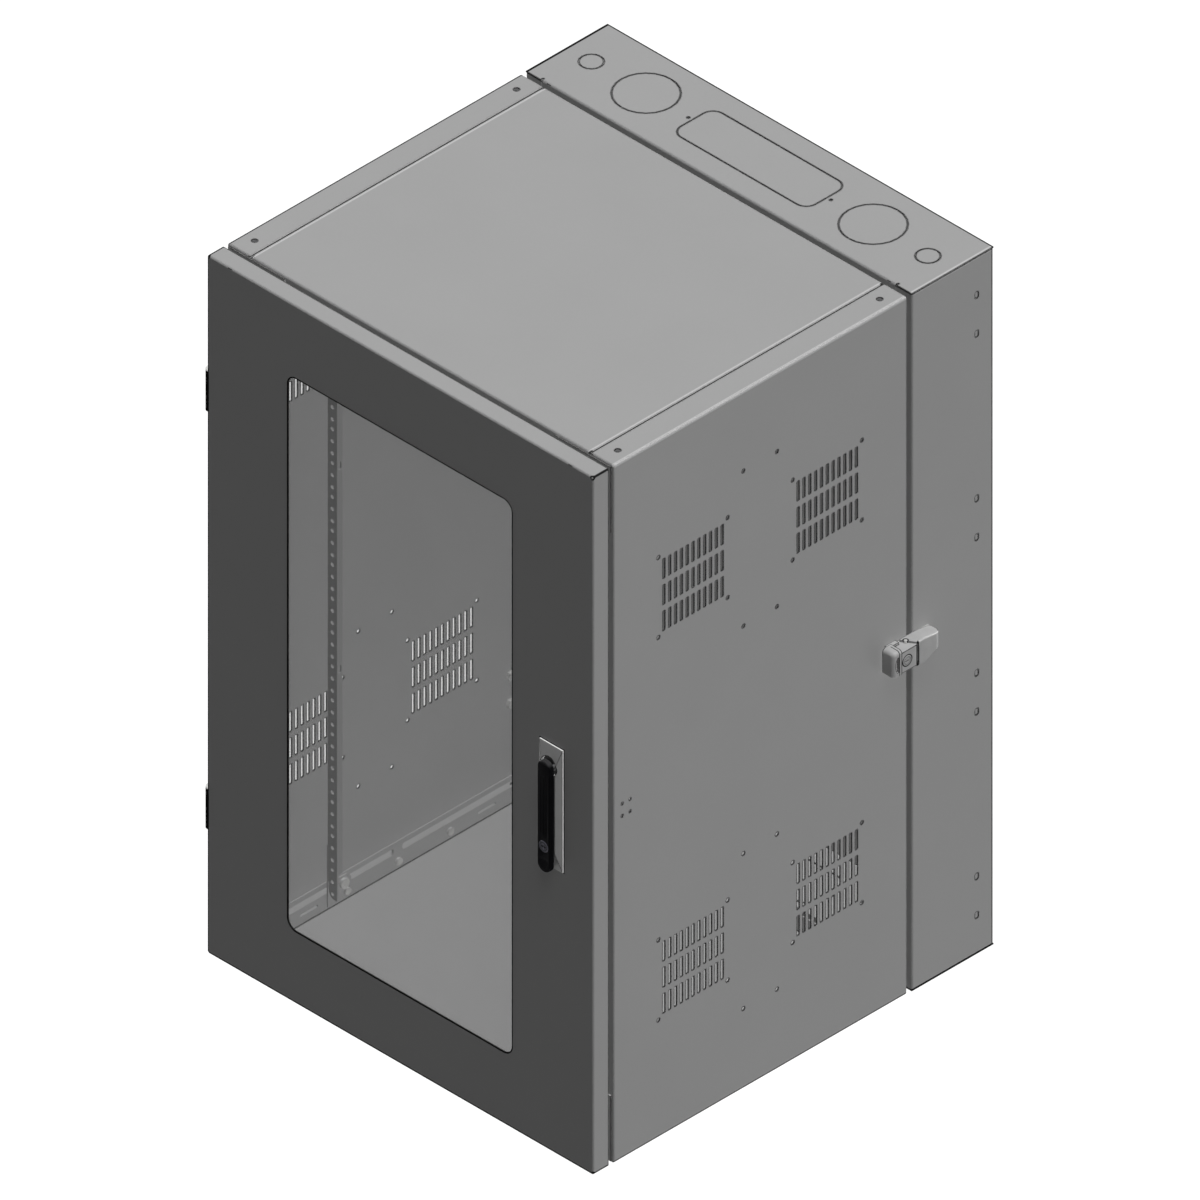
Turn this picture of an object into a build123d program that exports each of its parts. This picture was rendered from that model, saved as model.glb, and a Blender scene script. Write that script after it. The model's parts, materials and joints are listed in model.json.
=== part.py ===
from build123d import *
import os
from math import cos, radians, sin

os.makedirs("parts", exist_ok=True)

# Wall mount network cabinet in three sections: a fixed wall pan, a swing-out body and a
# windowed door. Millimetres. The origin is the centre of the four wall bolts, on the wall.
# X points right, Y points into the wall (the cabinet stands at negative Y), Z points up.

# Overall sizes of the closed cabinet; the width is the rack opening and the room beside it
overall_height = 914.4
side_room = 66.7
door_depth = 23.8
door_gap = 7.2
body_depth = 444.5
swing_gap = 7.1
pan_depth = 123.8

# Sheet metal shared by all three sections
sheet = 1.5
bend_radius = 2.5
end_bend_radius = 2.0
level_bend_radius = 2.3
flange_width = 24.0
relief_width = 2.0
relief_depth = 4.0
running_clearance = 0.05
seam_clearance = 0.4
overshoot = 1.0
place_match = 0.01

# Wall bolts: studs at 16 inches
wall_hole_spacing_x = 406.4
wall_hole_spacing_z = 762.0
wall_hole_radius = 5.2

# Cable knockouts in the top and bottom of the wall pan
large_knockout_radius = 37.75
large_knockout_inset = 120.3
large_knockout_sides = 24
small_knockout_radius = 14.2
small_knockout_inset = 37.4
small_knockout_sides = 16
plate_knockout_inset = 189.6
plate_knockout_width = 63.7
plate_knockout_corner = 15.0
plate_screw_gap = 5.4
plate_screw_across = 3.5
knockout_cut = 1.0
knockout_tab = 1.2

# Half-pierced locating dimples in the sides of the wall pan, in pairs
dimple_setback = 25.3
dimple_width = 5.6
dimple_height = 8.5
dimple_depth = 0.8
dimple_draft = 0.4
dimple_pair = 50.8
dimple_rise = 88.9
dimple_end = 50.8

# Top strips of the side panels and the seam that they share with the top panel
strip_width = 34.5
return_height = 36.0
seam_flange_height = 37.7
strip_hole_across = 7.0
strip_hole_inset = 17.3
strip_hole_setback = 24.0
strip_nut_across = 10.0
strip_nut_height = 4.0
strip_collar_across = 4.6
strip_collar_drop = 0.3

# Seam bolts, rail slots and cable slots along each seam flange
seam_bolt_spacing = 77.9
seam_bolt_height = 12.2
seam_bolt_shank = 5.0
seam_bolt_head_across = 9.0
seam_bolt_head = 3.0
seam_nut_across = 8.0
seam_nut_height = 4.0
rail_slot_height = 27.0
rail_slot_width = 8.1
rail_slot_length = 178.5
rail_slot_web = 13.5
cable_slot_length = 26.6
cable_slot_width = 3.0
cable_slot_height = 13.5
cable_slot_spacing = 269.4

# Side ventilation: four slotted fan places on each side panel
vent_pitch_y = 203.2
vent_pitch_z = 501.4
vent_columns = 11
vent_rows = 3
vent_column_pitch = 8.82
vent_row_pitch = 34.2
vent_slot_length = 25.4
vent_slot_width = 3.6
fan_hole_spacing = 104.8
small_hole_across = 4.5
tie_hole_spacing_y = 50.8
tie_hole_spacing_z = 203.2
cluster_setback = 13.5
cluster_pitch_y = 11.9
cluster_pitch_z = 16.0
cluster_hole_across = 3.2

# Corner gussets on the front of the body
gusset_leg = 88.0
gusset_sheet = 1.6

# Rack rails, 19 inch, 19 units
rack_units = 19
rack_unit = 44.45
rack_hole_steps = (6.35, 22.225, 38.1)
rail_opening = 450.8
rail_hole_inset = 7.15
rail_hole_radius = 2.4
rail_flange_width = 15.75
rail_sheet = 2.0
rail_web_depth = 22.0
rail_setback = 99.4
rail_notch_height = 20.0
rail_notch_depth = 3.0
rail_corner_radius = 9.0
rail_web_slot_width = 4.0
rail_web_slot_height = 10.0
rail_web_slot_spacing = 6 * rack_unit

# Feet that carry the rails on the seam flanges
foot_sheet = 2.0
foot_riser = 100.0
foot_bottom = 18.0
foot_top = 36.0
foot_length = 32.0
foot_tip = 6.0
foot_bolt_setback = 20.0
foot_bolt_shank = 6.0
foot_head_across = 13.0
foot_head = 3.5
foot_nut_across = 10.0
foot_nut_height = 5.0

# Hinges between the wall pan and the swing body
swing_hinge_rise = 338.6
swing_hinge_height = 60.0
swing_barrel_radius = 5.5
swing_pin_radius = 3.0
swing_pin_head = 2.5
swing_leaf = 3.0
swing_leaf_reach = 34.0
swing_leaf_corner = 5.0
swing_bolt_spacing = 36.2
swing_bolt_setback = 23.0
swing_bolt_shank = 6.0
swing_head_across = 10.0
swing_head = 4.0
swing_nut_across = 10.0
swing_nut_height = 5.0
knuckle_gap = 0.4

# Hinges between the swing body and the door
door_hinge_rise = 273.7
door_hinge_height = 52.5
door_barrel_radius = 5.0
door_axis_setback = 10.0
door_pin_radius = 2.5
door_pin_head = 2.0
door_leaf = 2.0
door_leaf_relief = 0.4
door_leaf_reach = 10.0
post_leaf_reach = 22.0

# Window in the door, within the frame that the door's sheet leaves round it
window_margin_x = 122.7
window_margin_z = 95.2
window_corner = 12.7
pane_thickness = 3.0
pane_overlap = 12.0
tape_thickness = 1.0
tape_width = 9.0
door_lip = 12.0
door_relief_across = 2.6
door_relief_inset = 1.8
clip_width = 16.0
clip_sheet = 1.2
clip_tongue = 7.0
clip_foot = 12.0
clips_across = 2
clips_up = 3
stud_across = 4.0
clip_nut_across = 7.0
clip_nut_height = 3.2

# Swing handle of the door
handle_inset = 61.8
handle_drop = 2.5
bezel_width = 35.0
bezel_height = 160.0
bezel_rim = 1.5
bezel_rise = 6.5
bezel_ridge_width = 21.0
bezel_ridge_height = 112.0
lever_width = 19.5
lever_length = 144.6
lever_thickness = 6.0
lever_top_margin = 16.9
lever_gap = 0.4
lever_edge = 1.8
lever_lug_width = 7.6
lever_lug_radius = 2.9
pivot_setback = 3.2
pivot_radius = 1.5
ear_thickness = 3.0
ear_gap = 0.3
dish_radius = 12.0
spindle_radius = 8.0
spindle_disc = 1.4
boss_radius = 14.0
boss_length = 13.0
stud_plate_drop = 62.0
handle_stud_across = 6.0
handle_nut_across = 10.0
handle_nut_height = 5.0
cam_setback = 34.0
cam_thickness = 3.0
cam_width = 20.0
cam_reach = 26.0
cam_square = 9.0
cam_nut_across = 14.0
cam_nut_height = 5.0
cam_thread_end = 1.0
key_drop = 50.5
key_radius = 7.0
key_proud = 0.3
key_depth = 6.0
key_slot_length = 7.0
key_slot_width = 1.4

# Side latch that holds the swing body to the wall pan
latch_base_length = 34.0
latch_base_height = 32.0
latch_base_thickness = 6.0
latch_housing_height = 26.4
latch_face = 20.0
latch_front_inset = 2.0
latch_pin_inset = 10.2
latch_pin_rise = 8.0
latch_pin_radius = 2.0
latch_end_radius = 13.0
latch_cap_front = 6.5
latch_cap_height = 34.0
latch_cap_radius = 6.0
latch_recess_depth = 2.0
latch_recess_half_width = 3.5
latch_recess_half_height = 10.0
latch_lever_clearance = 0.4
latch_ear = 2.2
latch_tail_reach = 42.0
latch_tail_lift = 2.2
latch_tail_draft = 1.5
latch_tail_bevel = 8.0
latch_tail_toe = 6.0
latch_tail_rake = 18.0
latch_tail_low = 5.2
latch_tail_high = 12.8
latch_hollow_reach = 8.3
latch_key_setback = 9.4
latch_key_radius = 6.3
latch_key_depth = 7.0
keeper_length = 22.0
keeper_height = 24.0
keeper_thickness = 1.6
keeper_setback = 4.0
keeper_corner = 3.0

# Stations worked out from the sizes above
overall_width = rail_opening + 2 * side_room
half_width = overall_width / 2
half_height = overall_height / 2
pan_front = -pan_depth
body_rear = pan_front - swing_gap
body_front = body_rear - body_depth
body_middle = (body_front + body_rear) / 2
door_rear = body_front - door_gap
door_front = door_rear - door_depth
pan_middle = pan_front / 2
seam_x = half_width - strip_width
rail_front = body_front + rail_setback
rail_length = rack_units * rack_unit
rail_hole_x = rail_opening / 2 + rail_hole_inset
rail_outer = rail_opening / 2 + rail_flange_width
window_width = overall_width - 2 * window_margin_x
window_height = overall_height - 2 * window_margin_z
handle_offset = half_width - handle_inset
swing_axis_x = -half_width - swing_barrel_radius
swing_axis_y = (pan_front + body_rear) / 2
door_axis_x = -half_width - door_barrel_radius
door_axis_y = door_front + door_axis_setback
lever_top = bezel_height / 2 - handle_drop - lever_top_margin
spindle_z = lever_top - lever_width / 2
lever_back = door_front - bezel_rise - lever_gap
lever_front = lever_back - lever_thickness
pivot_y = door_front - pivot_setback
latch_pin_x = half_width + latch_pin_rise
latch_pin_y = body_rear - latch_pin_inset


def block(x0, x1, y0, y1, z0, z1):
    """A block between two corners."""
    middle = Pos((x0 + x1) / 2, (y0 + y1) / 2, (z0 + z1) / 2)
    return middle * Box(abs(x1 - x0), abs(y1 - y0), abs(z1 - z0))


def rod_x(radius, x0, x1, y, z):
    """A round bar along X."""
    return Pos((x0 + x1) / 2, y, z) * Rot(0, 90, 0) * Cylinder(radius, abs(x1 - x0))


def rod_y(radius, y0, y1, x, z):
    """A round bar along Y."""
    return Pos(x, (y0 + y1) / 2, z) * Rot(90, 0, 0) * Cylinder(radius, abs(y1 - y0))


def rod_z(radius, z0, z1, x, y):
    """A round bar along Z."""
    return Pos(x, y, (z0 + z1) / 2) * Cylinder(radius, abs(z1 - z0))


def hex_x(across, x0, x1, y, z):
    """A hexagon bar along X, across flats."""
    profile = Plane.YZ * Pos(y, z) * hexagon(across)
    return Pos(min(x0, x1), 0, 0) * extrude(profile, abs(x1 - x0))


def hex_y(across, y0, y1, x, z):
    """A hexagon bar along Y, across flats."""
    profile = Plane.XZ * Pos(x, z) * hexagon(across)
    return Pos(0, max(y0, y1), 0) * extrude(profile, abs(y1 - y0))


def hexagon(across):
    """A hexagon across flats, for nuts, shanks and the small holes that they fill."""
    return RegularPolygon(across / 2, 6, major_radius=False)


def many_sided(across):
    """A nearly round outline with twelve sides, across its corners."""
    return RegularPolygon(across / 2, 12)


def disc_x(across, x0, x1, y, z):
    """A bolt head along X, nearly round."""
    profile = Plane.YZ * Pos(y, z) * many_sided(across)
    return Pos(min(x0, x1), 0, 0) * extrude(profile, abs(x1 - x0))


def slot(length, width, rotation=0):
    """A slot with bevelled ends: few faces, close to round ends."""
    outline = Rectangle(length, width, rotation=rotation)
    return chamfer(outline.vertices(), width / 4)


def plan_box(x0, x1, y0, y1):
    """A rectangle between two corners of a plan."""
    return Pos((x0 + x1) / 2, (y0 + y1) / 2) * Rectangle(abs(x1 - x0), abs(y1 - y0))


def bolt_x(head, shank, nut_across, nut_height, start, end, y, z):
    """A bolt along X: the head stands before the grip's start, the nut after its end."""
    bolt = head + hex_x(shank, start, end, y, z)
    return bolt + hex_x(nut_across, end, end + nut_height, y, z)


def long_edges(solid, axis, places):
    """The edges along an axis whose other two coordinates match one of the places."""
    chosen = []
    for edge in solid.edges().filter_by(axis):
        x, y, z = edge.center()
        spot = {Axis.X: (y, z), Axis.Y: (x, z), Axis.Z: (x, y)}[axis]
        if any(matches(spot[0], a) and matches(spot[1], b) for a, b in places):
            chosen.append(edge)
    return chosen


def matches(first, second):
    """Whether two coordinates are the same place."""
    return abs(first - second) < place_match


def mirrored_x(shapes):
    """The shapes with their mirror images across the cabinet's middle plane."""
    return shapes + [mirror(shape, Plane.YZ) for shape in shapes]


def mirrored_z(shapes):
    """The shapes with their mirror images across the mid-height plane."""
    return shapes + [mirror(shape, Plane.XY) for shape in shapes]


def write(name, shapes):
    """Write one node: a single solid or a group of separate ones."""
    solids = []
    for shape in shapes:
        solids.extend(shape.solids())
    target = solids[0] if len(solids) == 1 else Compound(children=solids)
    target.label = name
    export_step(target, f"parts/{name}.step")


def ring_cut(radius, sides, x, y):
    """The annular shear line of a round knockout, many-sided and open at two holding tabs."""
    line = Pos(x, y) * (RegularPolygon(radius, sides) - RegularPolygon(radius - knockout_cut, sides))
    return line - Pos(x, y) * Rectangle(knockout_tab, 2 * radius + knockout_cut)


def plate_cut():
    """The shear line of the rounded rectangular knockout, open at four tabs."""
    length = overall_width - 2 * plate_knockout_inset
    outer = RectangleRounded(length, plate_knockout_width, plate_knockout_corner)
    inner = RectangleRounded(
        length - 2 * knockout_cut,
        plate_knockout_width - 2 * knockout_cut,
        plate_knockout_corner - knockout_cut,
    )
    tabs = Rectangle(knockout_tab, plate_knockout_width + knockout_cut)
    tabs += Rectangle(length + knockout_cut, knockout_tab)
    return Pos(0, pan_middle) * (outer - inner - tabs)


def pan_top():
    """Top sheet of the wall pan: knockouts, and a lip bent down between two relief notches."""
    top = block(-half_width, half_width, pan_front, 0, half_height - sheet, half_height)
    lip_half = half_width - flange_width - seam_clearance
    top += block(-lip_half, lip_half, pan_front, pan_front + sheet, half_height - flange_width, half_height)
    for side in (-1, 1):
        top -= block(side * lip_half, side * (lip_half + relief_width),
                     pan_front - overshoot, pan_front + relief_depth,
                     half_height - 2 * sheet, half_height + overshoot)
    folds = [edge for edge in long_edges(top, Axis.X, [(pan_front, half_height)]) if edge.length > lip_half]
    top = fillet(folds, bend_radius)
    screw_x = half_width - plate_knockout_inset + plate_screw_gap
    cuts = plate_cut()
    for side in (-1, 1):
        large_x = side * (half_width - large_knockout_inset)
        small_x = side * (half_width - small_knockout_inset)
        cuts += ring_cut(large_knockout_radius, large_knockout_sides, large_x, pan_middle)
        cuts += ring_cut(small_knockout_radius, small_knockout_sides, small_x, pan_middle)
        cuts += Pos(side * screw_x, pan_middle) * hexagon(plate_screw_across)
    return top - Pos(0, 0, half_height - 2 * sheet) * extrude(cuts, 3 * sheet)


def pan_back():
    """Back of the wall pan with its two sides and their front flanges, one folded sheet."""
    end = half_height - sheet
    shell = block(-half_width, half_width, pan_front, 0, -end, end)
    inner = half_width - sheet
    shell -= block(-inner, inner, pan_front + sheet, -sheet, -half_height, half_height)
    mouth = half_width - flange_width
    shell -= block(-mouth, mouth, pan_front - sheet, pan_front + 2 * sheet, -half_height, half_height)
    outside = [(-half_width, 0), (half_width, 0), (-half_width, pan_front), (half_width, pan_front)]
    shell = fillet(long_edges(shell, Axis.Z, outside), bend_radius)
    holes = []
    for side in (-1, 1):
        for rise in (-1, 1):
            x = side * wall_hole_spacing_x / 2
            z = rise * wall_hole_spacing_z / 2
            holes.append(rod_y(wall_hole_radius, -2 * sheet, sheet, x, z))
    boss = dimple_bar(dimple_draft, inner - dimple_depth, inner + overshoot / 2)
    recess = dimple_bar(0, half_width - dimple_depth, half_width + overshoot)
    shell += boss + mirror(boss, Plane.YZ)
    shell -= recess + mirror(recess, Plane.YZ)
    for hole in holes + swing_bolt_holes(1):
        shell -= hole
    return shell


def dimple_bar(draft, x0, x1):
    """The dimples of one side of the wall pan, this much smaller, between two planes across X."""
    ends = (half_height - dimple_end - dimple_pair, half_height - dimple_end)
    outlines = Sketch()
    for height in (dimple_rise, dimple_rise + dimple_pair, *ends):
        for rise in (-height, height):
            outlines += Pos(-dimple_setback, rise) * slot(dimple_height - draft, dimple_width - draft, 90)
    return Pos(x0, 0, 0) * extrude(Plane.YZ * outlines, x1 - x0)


def swing_bolt_places():
    """Heights of the hinge bolts between wall pan and swing body."""
    places = []
    for rise in (-swing_hinge_rise, swing_hinge_rise):
        for step in (-swing_bolt_spacing / 2, swing_bolt_spacing / 2):
            places.append(rise + step)
    return places


def swing_bolt_holes(direction):
    """Holes for the hinge bolts: direction 1 is the wall pan's side, -1 the body's."""
    y = swing_axis_y + direction * swing_bolt_setback
    return [
        hex_x(swing_bolt_shank, -half_width - 2 * swing_leaf, -half_width + 2 * swing_leaf, y, z)
        for z in swing_bolt_places()
    ]


def swing_leaves(direction):
    """The two hinge leaves on one side of the swing axis, with their knuckles."""
    leaves = []
    half = swing_hinge_height / 2
    middle_half = swing_hinge_height / 4
    for rise in (-swing_hinge_rise, swing_hinge_rise):
        plate_y = swing_axis_y + direction * swing_leaf_reach
        leaf = block(-half_width - swing_leaf, -half_width, swing_axis_y, plate_y, rise - half, rise + half)
        corners = long_edges(leaf, Axis.X, [(plate_y, rise - half), (plate_y, rise + half)])
        leaf = chamfer(corners, swing_leaf_corner)
        barrel = rod_z(swing_barrel_radius, rise - half, rise + half, swing_axis_x, swing_axis_y)
        leaf += barrel
        if direction > 0:
            gap = middle_half + knuckle_gap / 2
            bands = [(rise - gap, rise + gap)]
            bore = swing_pin_radius
        else:
            gap = middle_half - knuckle_gap / 2
            bands = [(rise - half - overshoot, rise - gap), (rise + gap, rise + half + overshoot)]
            bore = swing_pin_radius + running_clearance
        reach = swing_barrel_radius + knuckle_gap
        for low, high in bands:
            leaf -= rod_z(reach, low, high, swing_axis_x, swing_axis_y)
        leaf -= rod_z(bore, rise - half - overshoot, rise + half + overshoot, swing_axis_x, swing_axis_y)
        for hole in swing_bolt_holes(direction):
            leaf -= hole
        leaves.append(leaf)
    return leaves


def swing_pins():
    """Headed pins of the two swing hinges."""
    pins = []
    half = swing_hinge_height / 2
    for rise in (-swing_hinge_rise, swing_hinge_rise):
        pin = rod_z(swing_pin_radius, rise - half, rise + half, swing_axis_x, swing_axis_y)
        head_top = rise + half + swing_pin_head
        pin += rod_z(swing_barrel_radius, rise + half, head_top, swing_axis_x, swing_axis_y)
        pins.append(pin)
    return pins


def swing_bolts(direction):
    """Hexagon bolts of one set of hinge leaves, heads outside and nuts inside the sheet."""
    y = swing_axis_y + direction * swing_bolt_setback
    outer = -half_width - swing_leaf
    inner = -half_width + sheet
    bolts = []
    for z in swing_bolt_places():
        head = hex_x(swing_head_across, outer - swing_head, outer, y, z)
        bolts.append(bolt_x(head, swing_bolt_shank, swing_nut_across, swing_nut_height, outer, inner, y, z))
    return bolts


def vent_sketch():
    """Slots, fan holes and tie holes of one side panel, seen along X."""
    cuts = Sketch()
    for group_y in (-vent_pitch_y / 2, vent_pitch_y / 2):
        for group_z in (-vent_pitch_z / 2, vent_pitch_z / 2):
            centre = Pos(body_middle + group_y, group_z)
            grid = GridLocations(vent_column_pitch, vent_row_pitch, vent_columns, vent_rows)
            cuts += centre * grid * Rectangle(vent_slot_width, vent_slot_length)
            corners = GridLocations(fan_hole_spacing, fan_hole_spacing, 2, 2)
            cuts += centre * corners * hexagon(small_hole_across)
    for group_z in (-vent_pitch_z / 2, vent_pitch_z / 2):
        ties = GridLocations(tie_hole_spacing_y, tie_hole_spacing_z, 2, 2)
        cuts += Pos(body_middle, group_z) * ties * hexagon(small_hole_across)
    cluster_y = body_front + cluster_setback + cluster_pitch_y / 2
    cluster = GridLocations(cluster_pitch_y, cluster_pitch_z, 2, 2)
    cuts += Pos(cluster_y, 0) * cluster * hexagon(cluster_hole_across)
    return cuts


def seam_cuts():
    """Cutters along X through the right-hand seam flanges, bottom seam only."""
    low = -half_height
    first = body_middle - rail_slot_length / 2 - rail_slot_web / 2
    second = body_middle + rail_slot_length / 2 + rail_slot_web / 2
    cuts = Sketch()
    for y in (first, second):
        cuts += Pos(y, low + rail_slot_height) * slot(rail_slot_length, rail_slot_width)
    for y in (-cable_slot_spacing / 2, cable_slot_spacing / 2):
        place = Pos(body_middle + y, low + cable_slot_height)
        cuts += place * Rectangle(cable_slot_length, cable_slot_width)
    for step in (-1, 0, 1):
        place = Pos(body_middle + step * seam_bolt_spacing, low + seam_bolt_height)
        cuts += place * hexagon(seam_bolt_shank)
    bar = extrude(Plane.YZ * cuts, 4 * sheet)
    return Pos(seam_x - 2 * sheet, 0, 0) * bar


def side_panel_right():
    """Right side panel: wall, strips over top and bottom, seam returns and end flanges."""
    inner = half_width - sheet
    shell = block(seam_x, half_width, body_front, body_rear, -half_height, half_height)
    shell -= block(seam_x + sheet, inner, body_front + sheet, body_rear - sheet,
                   -half_height + sheet, half_height - sheet)
    window = half_height - return_height
    shell -= block(seam_x - overshoot, seam_x + 2 * sheet, body_front - overshoot, body_rear + overshoot,
                   -window, window)
    mouth = half_height - flange_width
    for y in (body_front, body_rear):
        shell -= block(seam_x - overshoot, half_width - flange_width, y - 2 * sheet, y + 2 * sheet,
                       -mouth, mouth)
    folds = [(x, z) for x in (seam_x, half_width) for z in (-half_height, half_height)]
    shell = fillet(long_edges(shell, Axis.Y, folds), bend_radius)
    ends = [(half_width, body_front), (half_width, body_rear)]
    upright = [edge for edge in long_edges(shell, Axis.Z, ends) if edge.length > half_height]
    shell = fillet(upright, end_bend_radius)
    shell -= Pos(inner - sheet, 0, 0) * extrude(Plane.YZ * vent_sketch(), 3 * sheet)
    lower = seam_cuts()
    shell -= lower
    shell -= mirror(lower, Plane.XY)
    for y in (body_front + strip_hole_setback, body_rear - strip_hole_setback):
        x = half_width - strip_hole_inset
        shell -= Pos(x, y, 0) * extrude(many_sided(strip_hole_across), overall_height, both=True)
    return shell


def side_panel_left():
    """Left side panel: the mirror image, drilled for its hinges."""
    shell = mirror(side_panel_right(), Plane.YZ)
    for hole in swing_bolt_holes(-1):
        shell -= hole
    return shell


def strip_nuts():
    """Blind weld nuts under the strips, each with a round collar that fills most of its hole."""
    nuts = []
    x = half_width - strip_hole_inset
    low = half_height - sheet - strip_nut_height
    for y in (body_front + strip_hole_setback, body_rear - strip_hole_setback):
        nut = Pos(x, y, low) * extrude(Rectangle(strip_nut_across, strip_nut_across), strip_nut_height)
        collar = extrude(many_sided(strip_collar_across), strip_nut_height + sheet - strip_collar_drop)
        nuts.append(nut + Pos(x, y, low) * collar)
    return mirrored_z(mirrored_x(nuts))


def top_panel():
    """Top panel: flat sheet with seam flanges at its sides and flanges at both ends."""
    wide = seam_x - seam_clearance / 4
    low = half_height - seam_flange_height
    tray = block(-wide, wide, body_front, body_rear, low, half_height)
    tray -= block(-wide + sheet, wide - sheet, body_front + sheet, body_rear - sheet,
                  low - overshoot, half_height - sheet)
    lip = half_height - flange_width
    for y in (body_front, body_rear):
        tray -= block(-wide + sheet, wide - sheet, y - 2 * sheet, y + 2 * sheet, low - overshoot, lip)
    folds = [(-wide, half_height), (wide, half_height)]
    tray = fillet(long_edges(tray, Axis.Y, folds), bend_radius)
    ends = [(body_front, half_height), (body_rear, half_height)]
    tray = fillet(long_edges(tray, Axis.X, ends), bend_radius)
    right = mirror(seam_cuts(), Plane.XY)
    for end, inward in ((body_front, 1), (body_rear, -1)):
        right += block(wide - relief_width, wide + overshoot, end - inward * overshoot,
                       end + inward * relief_depth, half_height - bend_radius, half_height + overshoot)
    tray -= right
    tray -= mirror(right, Plane.YZ)
    return tray


def seam_bolts():
    """Bolts with round heads inside the cabinet and nuts in the channel behind the returns."""
    start = seam_x - seam_clearance / 4 - sheet
    end = seam_x + sheet
    z = -half_height + seam_bolt_height
    bolts = []
    for step in (-1, 0, 1):
        y = body_middle + step * seam_bolt_spacing
        head = disc_x(seam_bolt_head_across, start - seam_bolt_head, start, y, z)
        bolts.append(bolt_x(head, seam_bolt_shank, seam_nut_across, seam_nut_height, start, end, y, z))
    return mirrored_z(mirrored_x(bolts))


def corner_gussets():
    """L-shaped plates that tie the front flanges together at the four corners."""
    profile = Polyline(
        (half_width - bend_radius, half_height - bend_radius),
        (half_width - gusset_leg, half_height - bend_radius),
        (half_width - gusset_leg, half_height - flange_width + bend_radius),
        (half_width - flange_width + bend_radius, half_height - flange_width + bend_radius),
        (half_width - flange_width + bend_radius, half_height - gusset_leg),
        (half_width - bend_radius, half_height - gusset_leg),
        close=True,
    )
    plate = extrude(Plane.XZ * make_face(profile), gusset_sheet)
    plate = Pos(0, body_front, 0) * plate
    return mirrored_z(mirrored_x([plate]))


def rack_rail_right():
    """Right rack rail: an angle with a punched front flange and a web behind its outer edge."""
    half = rail_length / 2
    back = rail_front + rail_web_depth
    rail = block(rail_opening / 2, rail_outer, rail_front, rail_front + rail_sheet, -half, half)
    web_end = half - rail_notch_height
    rail += block(rail_outer - rail_sheet, rail_outer, rail_front, back, -web_end, web_end)
    rail = fillet(long_edges(rail, Axis.Z, [(rail_outer, rail_front)]), bend_radius)
    for end in (-1, 1):
        notch_x = rail_outer - rail_notch_depth
        rail -= block(notch_x, rail_outer + overshoot, rail_front - overshoot, rail_front + 2 * rail_sheet,
                      end * web_end, end * (half + overshoot))
        corner = block(notch_x - rail_corner_radius, notch_x + overshoot,
                       rail_front - overshoot, rail_front + 2 * rail_sheet,
                       end * (half - rail_corner_radius), end * (half + overshoot))
        corner -= rod_y(rail_corner_radius, rail_front - 2 * overshoot, rail_front + 3 * rail_sheet,
                        notch_x - rail_corner_radius, end * (half - rail_corner_radius))
        rail -= corner
    # The lowest unit's holes are true rounds; the repeats have few faces.
    holes = Sketch()
    for unit in range(rack_units):
        for step in rack_hole_steps:
            shape = Circle(rail_hole_radius) if unit == 0 else hexagon(2 * rail_hole_radius)
            holes += Pos(rail_hole_x, -half + unit * rack_unit + step) * shape
    rail -= Pos(0, rail_front + 2 * rail_sheet, 0) * extrude(Plane.XZ * holes, 3 * rail_sheet)
    slots = Sketch()
    for z in (-rail_web_slot_spacing / 2, rail_web_slot_spacing / 2):
        place = Pos(back - rail_web_slot_width, z)
        slots += place * slot(rail_web_slot_height, rail_web_slot_width, 90)
    return rail - Pos(rail_outer - 2 * rail_sheet, 0, 0) * extrude(Plane.YZ * slots, 3 * rail_sheet)


def rail_foot():
    """Lower right foot: a riser on the rail's web, joggled out to the slotted seam flange."""
    seam_face = seam_x - seam_clearance / 4 - sheet
    low = -half_height + foot_bottom
    high = -half_height + foot_top
    front = rail_front + rail_sheet
    back = rail_front + rail_web_depth - rail_web_slot_width
    foot = block(rail_outer, rail_outer + foot_sheet, front, back, low, -half_height + foot_riser)
    foot += block(rail_outer, seam_face, back - foot_sheet, back, low, high)
    foot += block(seam_face - foot_sheet, seam_face, back - foot_sheet, back + foot_length, low, high)
    tip = long_edges(foot, Axis.X, [(back + foot_length, low), (back + foot_length, high)])
    foot = chamfer(tip, foot_tip)
    bolt_y, bolt_z = foot_bolt_place()
    return foot - hex_x(foot_bolt_shank, seam_face - 3 * foot_sheet, seam_face + overshoot, bolt_y, bolt_z)


def foot_bolt_place():
    """Where the foot's bolt crosses the rail slot, as Y and Z."""
    back = rail_front + rail_web_depth - rail_web_slot_width
    return back + foot_bolt_setback, -half_height + rail_slot_height


def foot_bolts():
    """Bolts with wide round heads that clamp the feet to the slotted seam flanges."""
    start = seam_x - seam_clearance / 4 - sheet - foot_sheet
    y, z = foot_bolt_place()
    head = disc_x(foot_head_across, start - foot_head, start, y, z)
    bolt = bolt_x(head, foot_bolt_shank, foot_nut_across, foot_nut_height, start, seam_x + sheet, y, z)
    return mirrored_z(mirrored_x([bolt]))


def door_hinge_heights():
    """Heights of the two door hinges."""
    return (-door_hinge_rise, door_hinge_rise)


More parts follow.
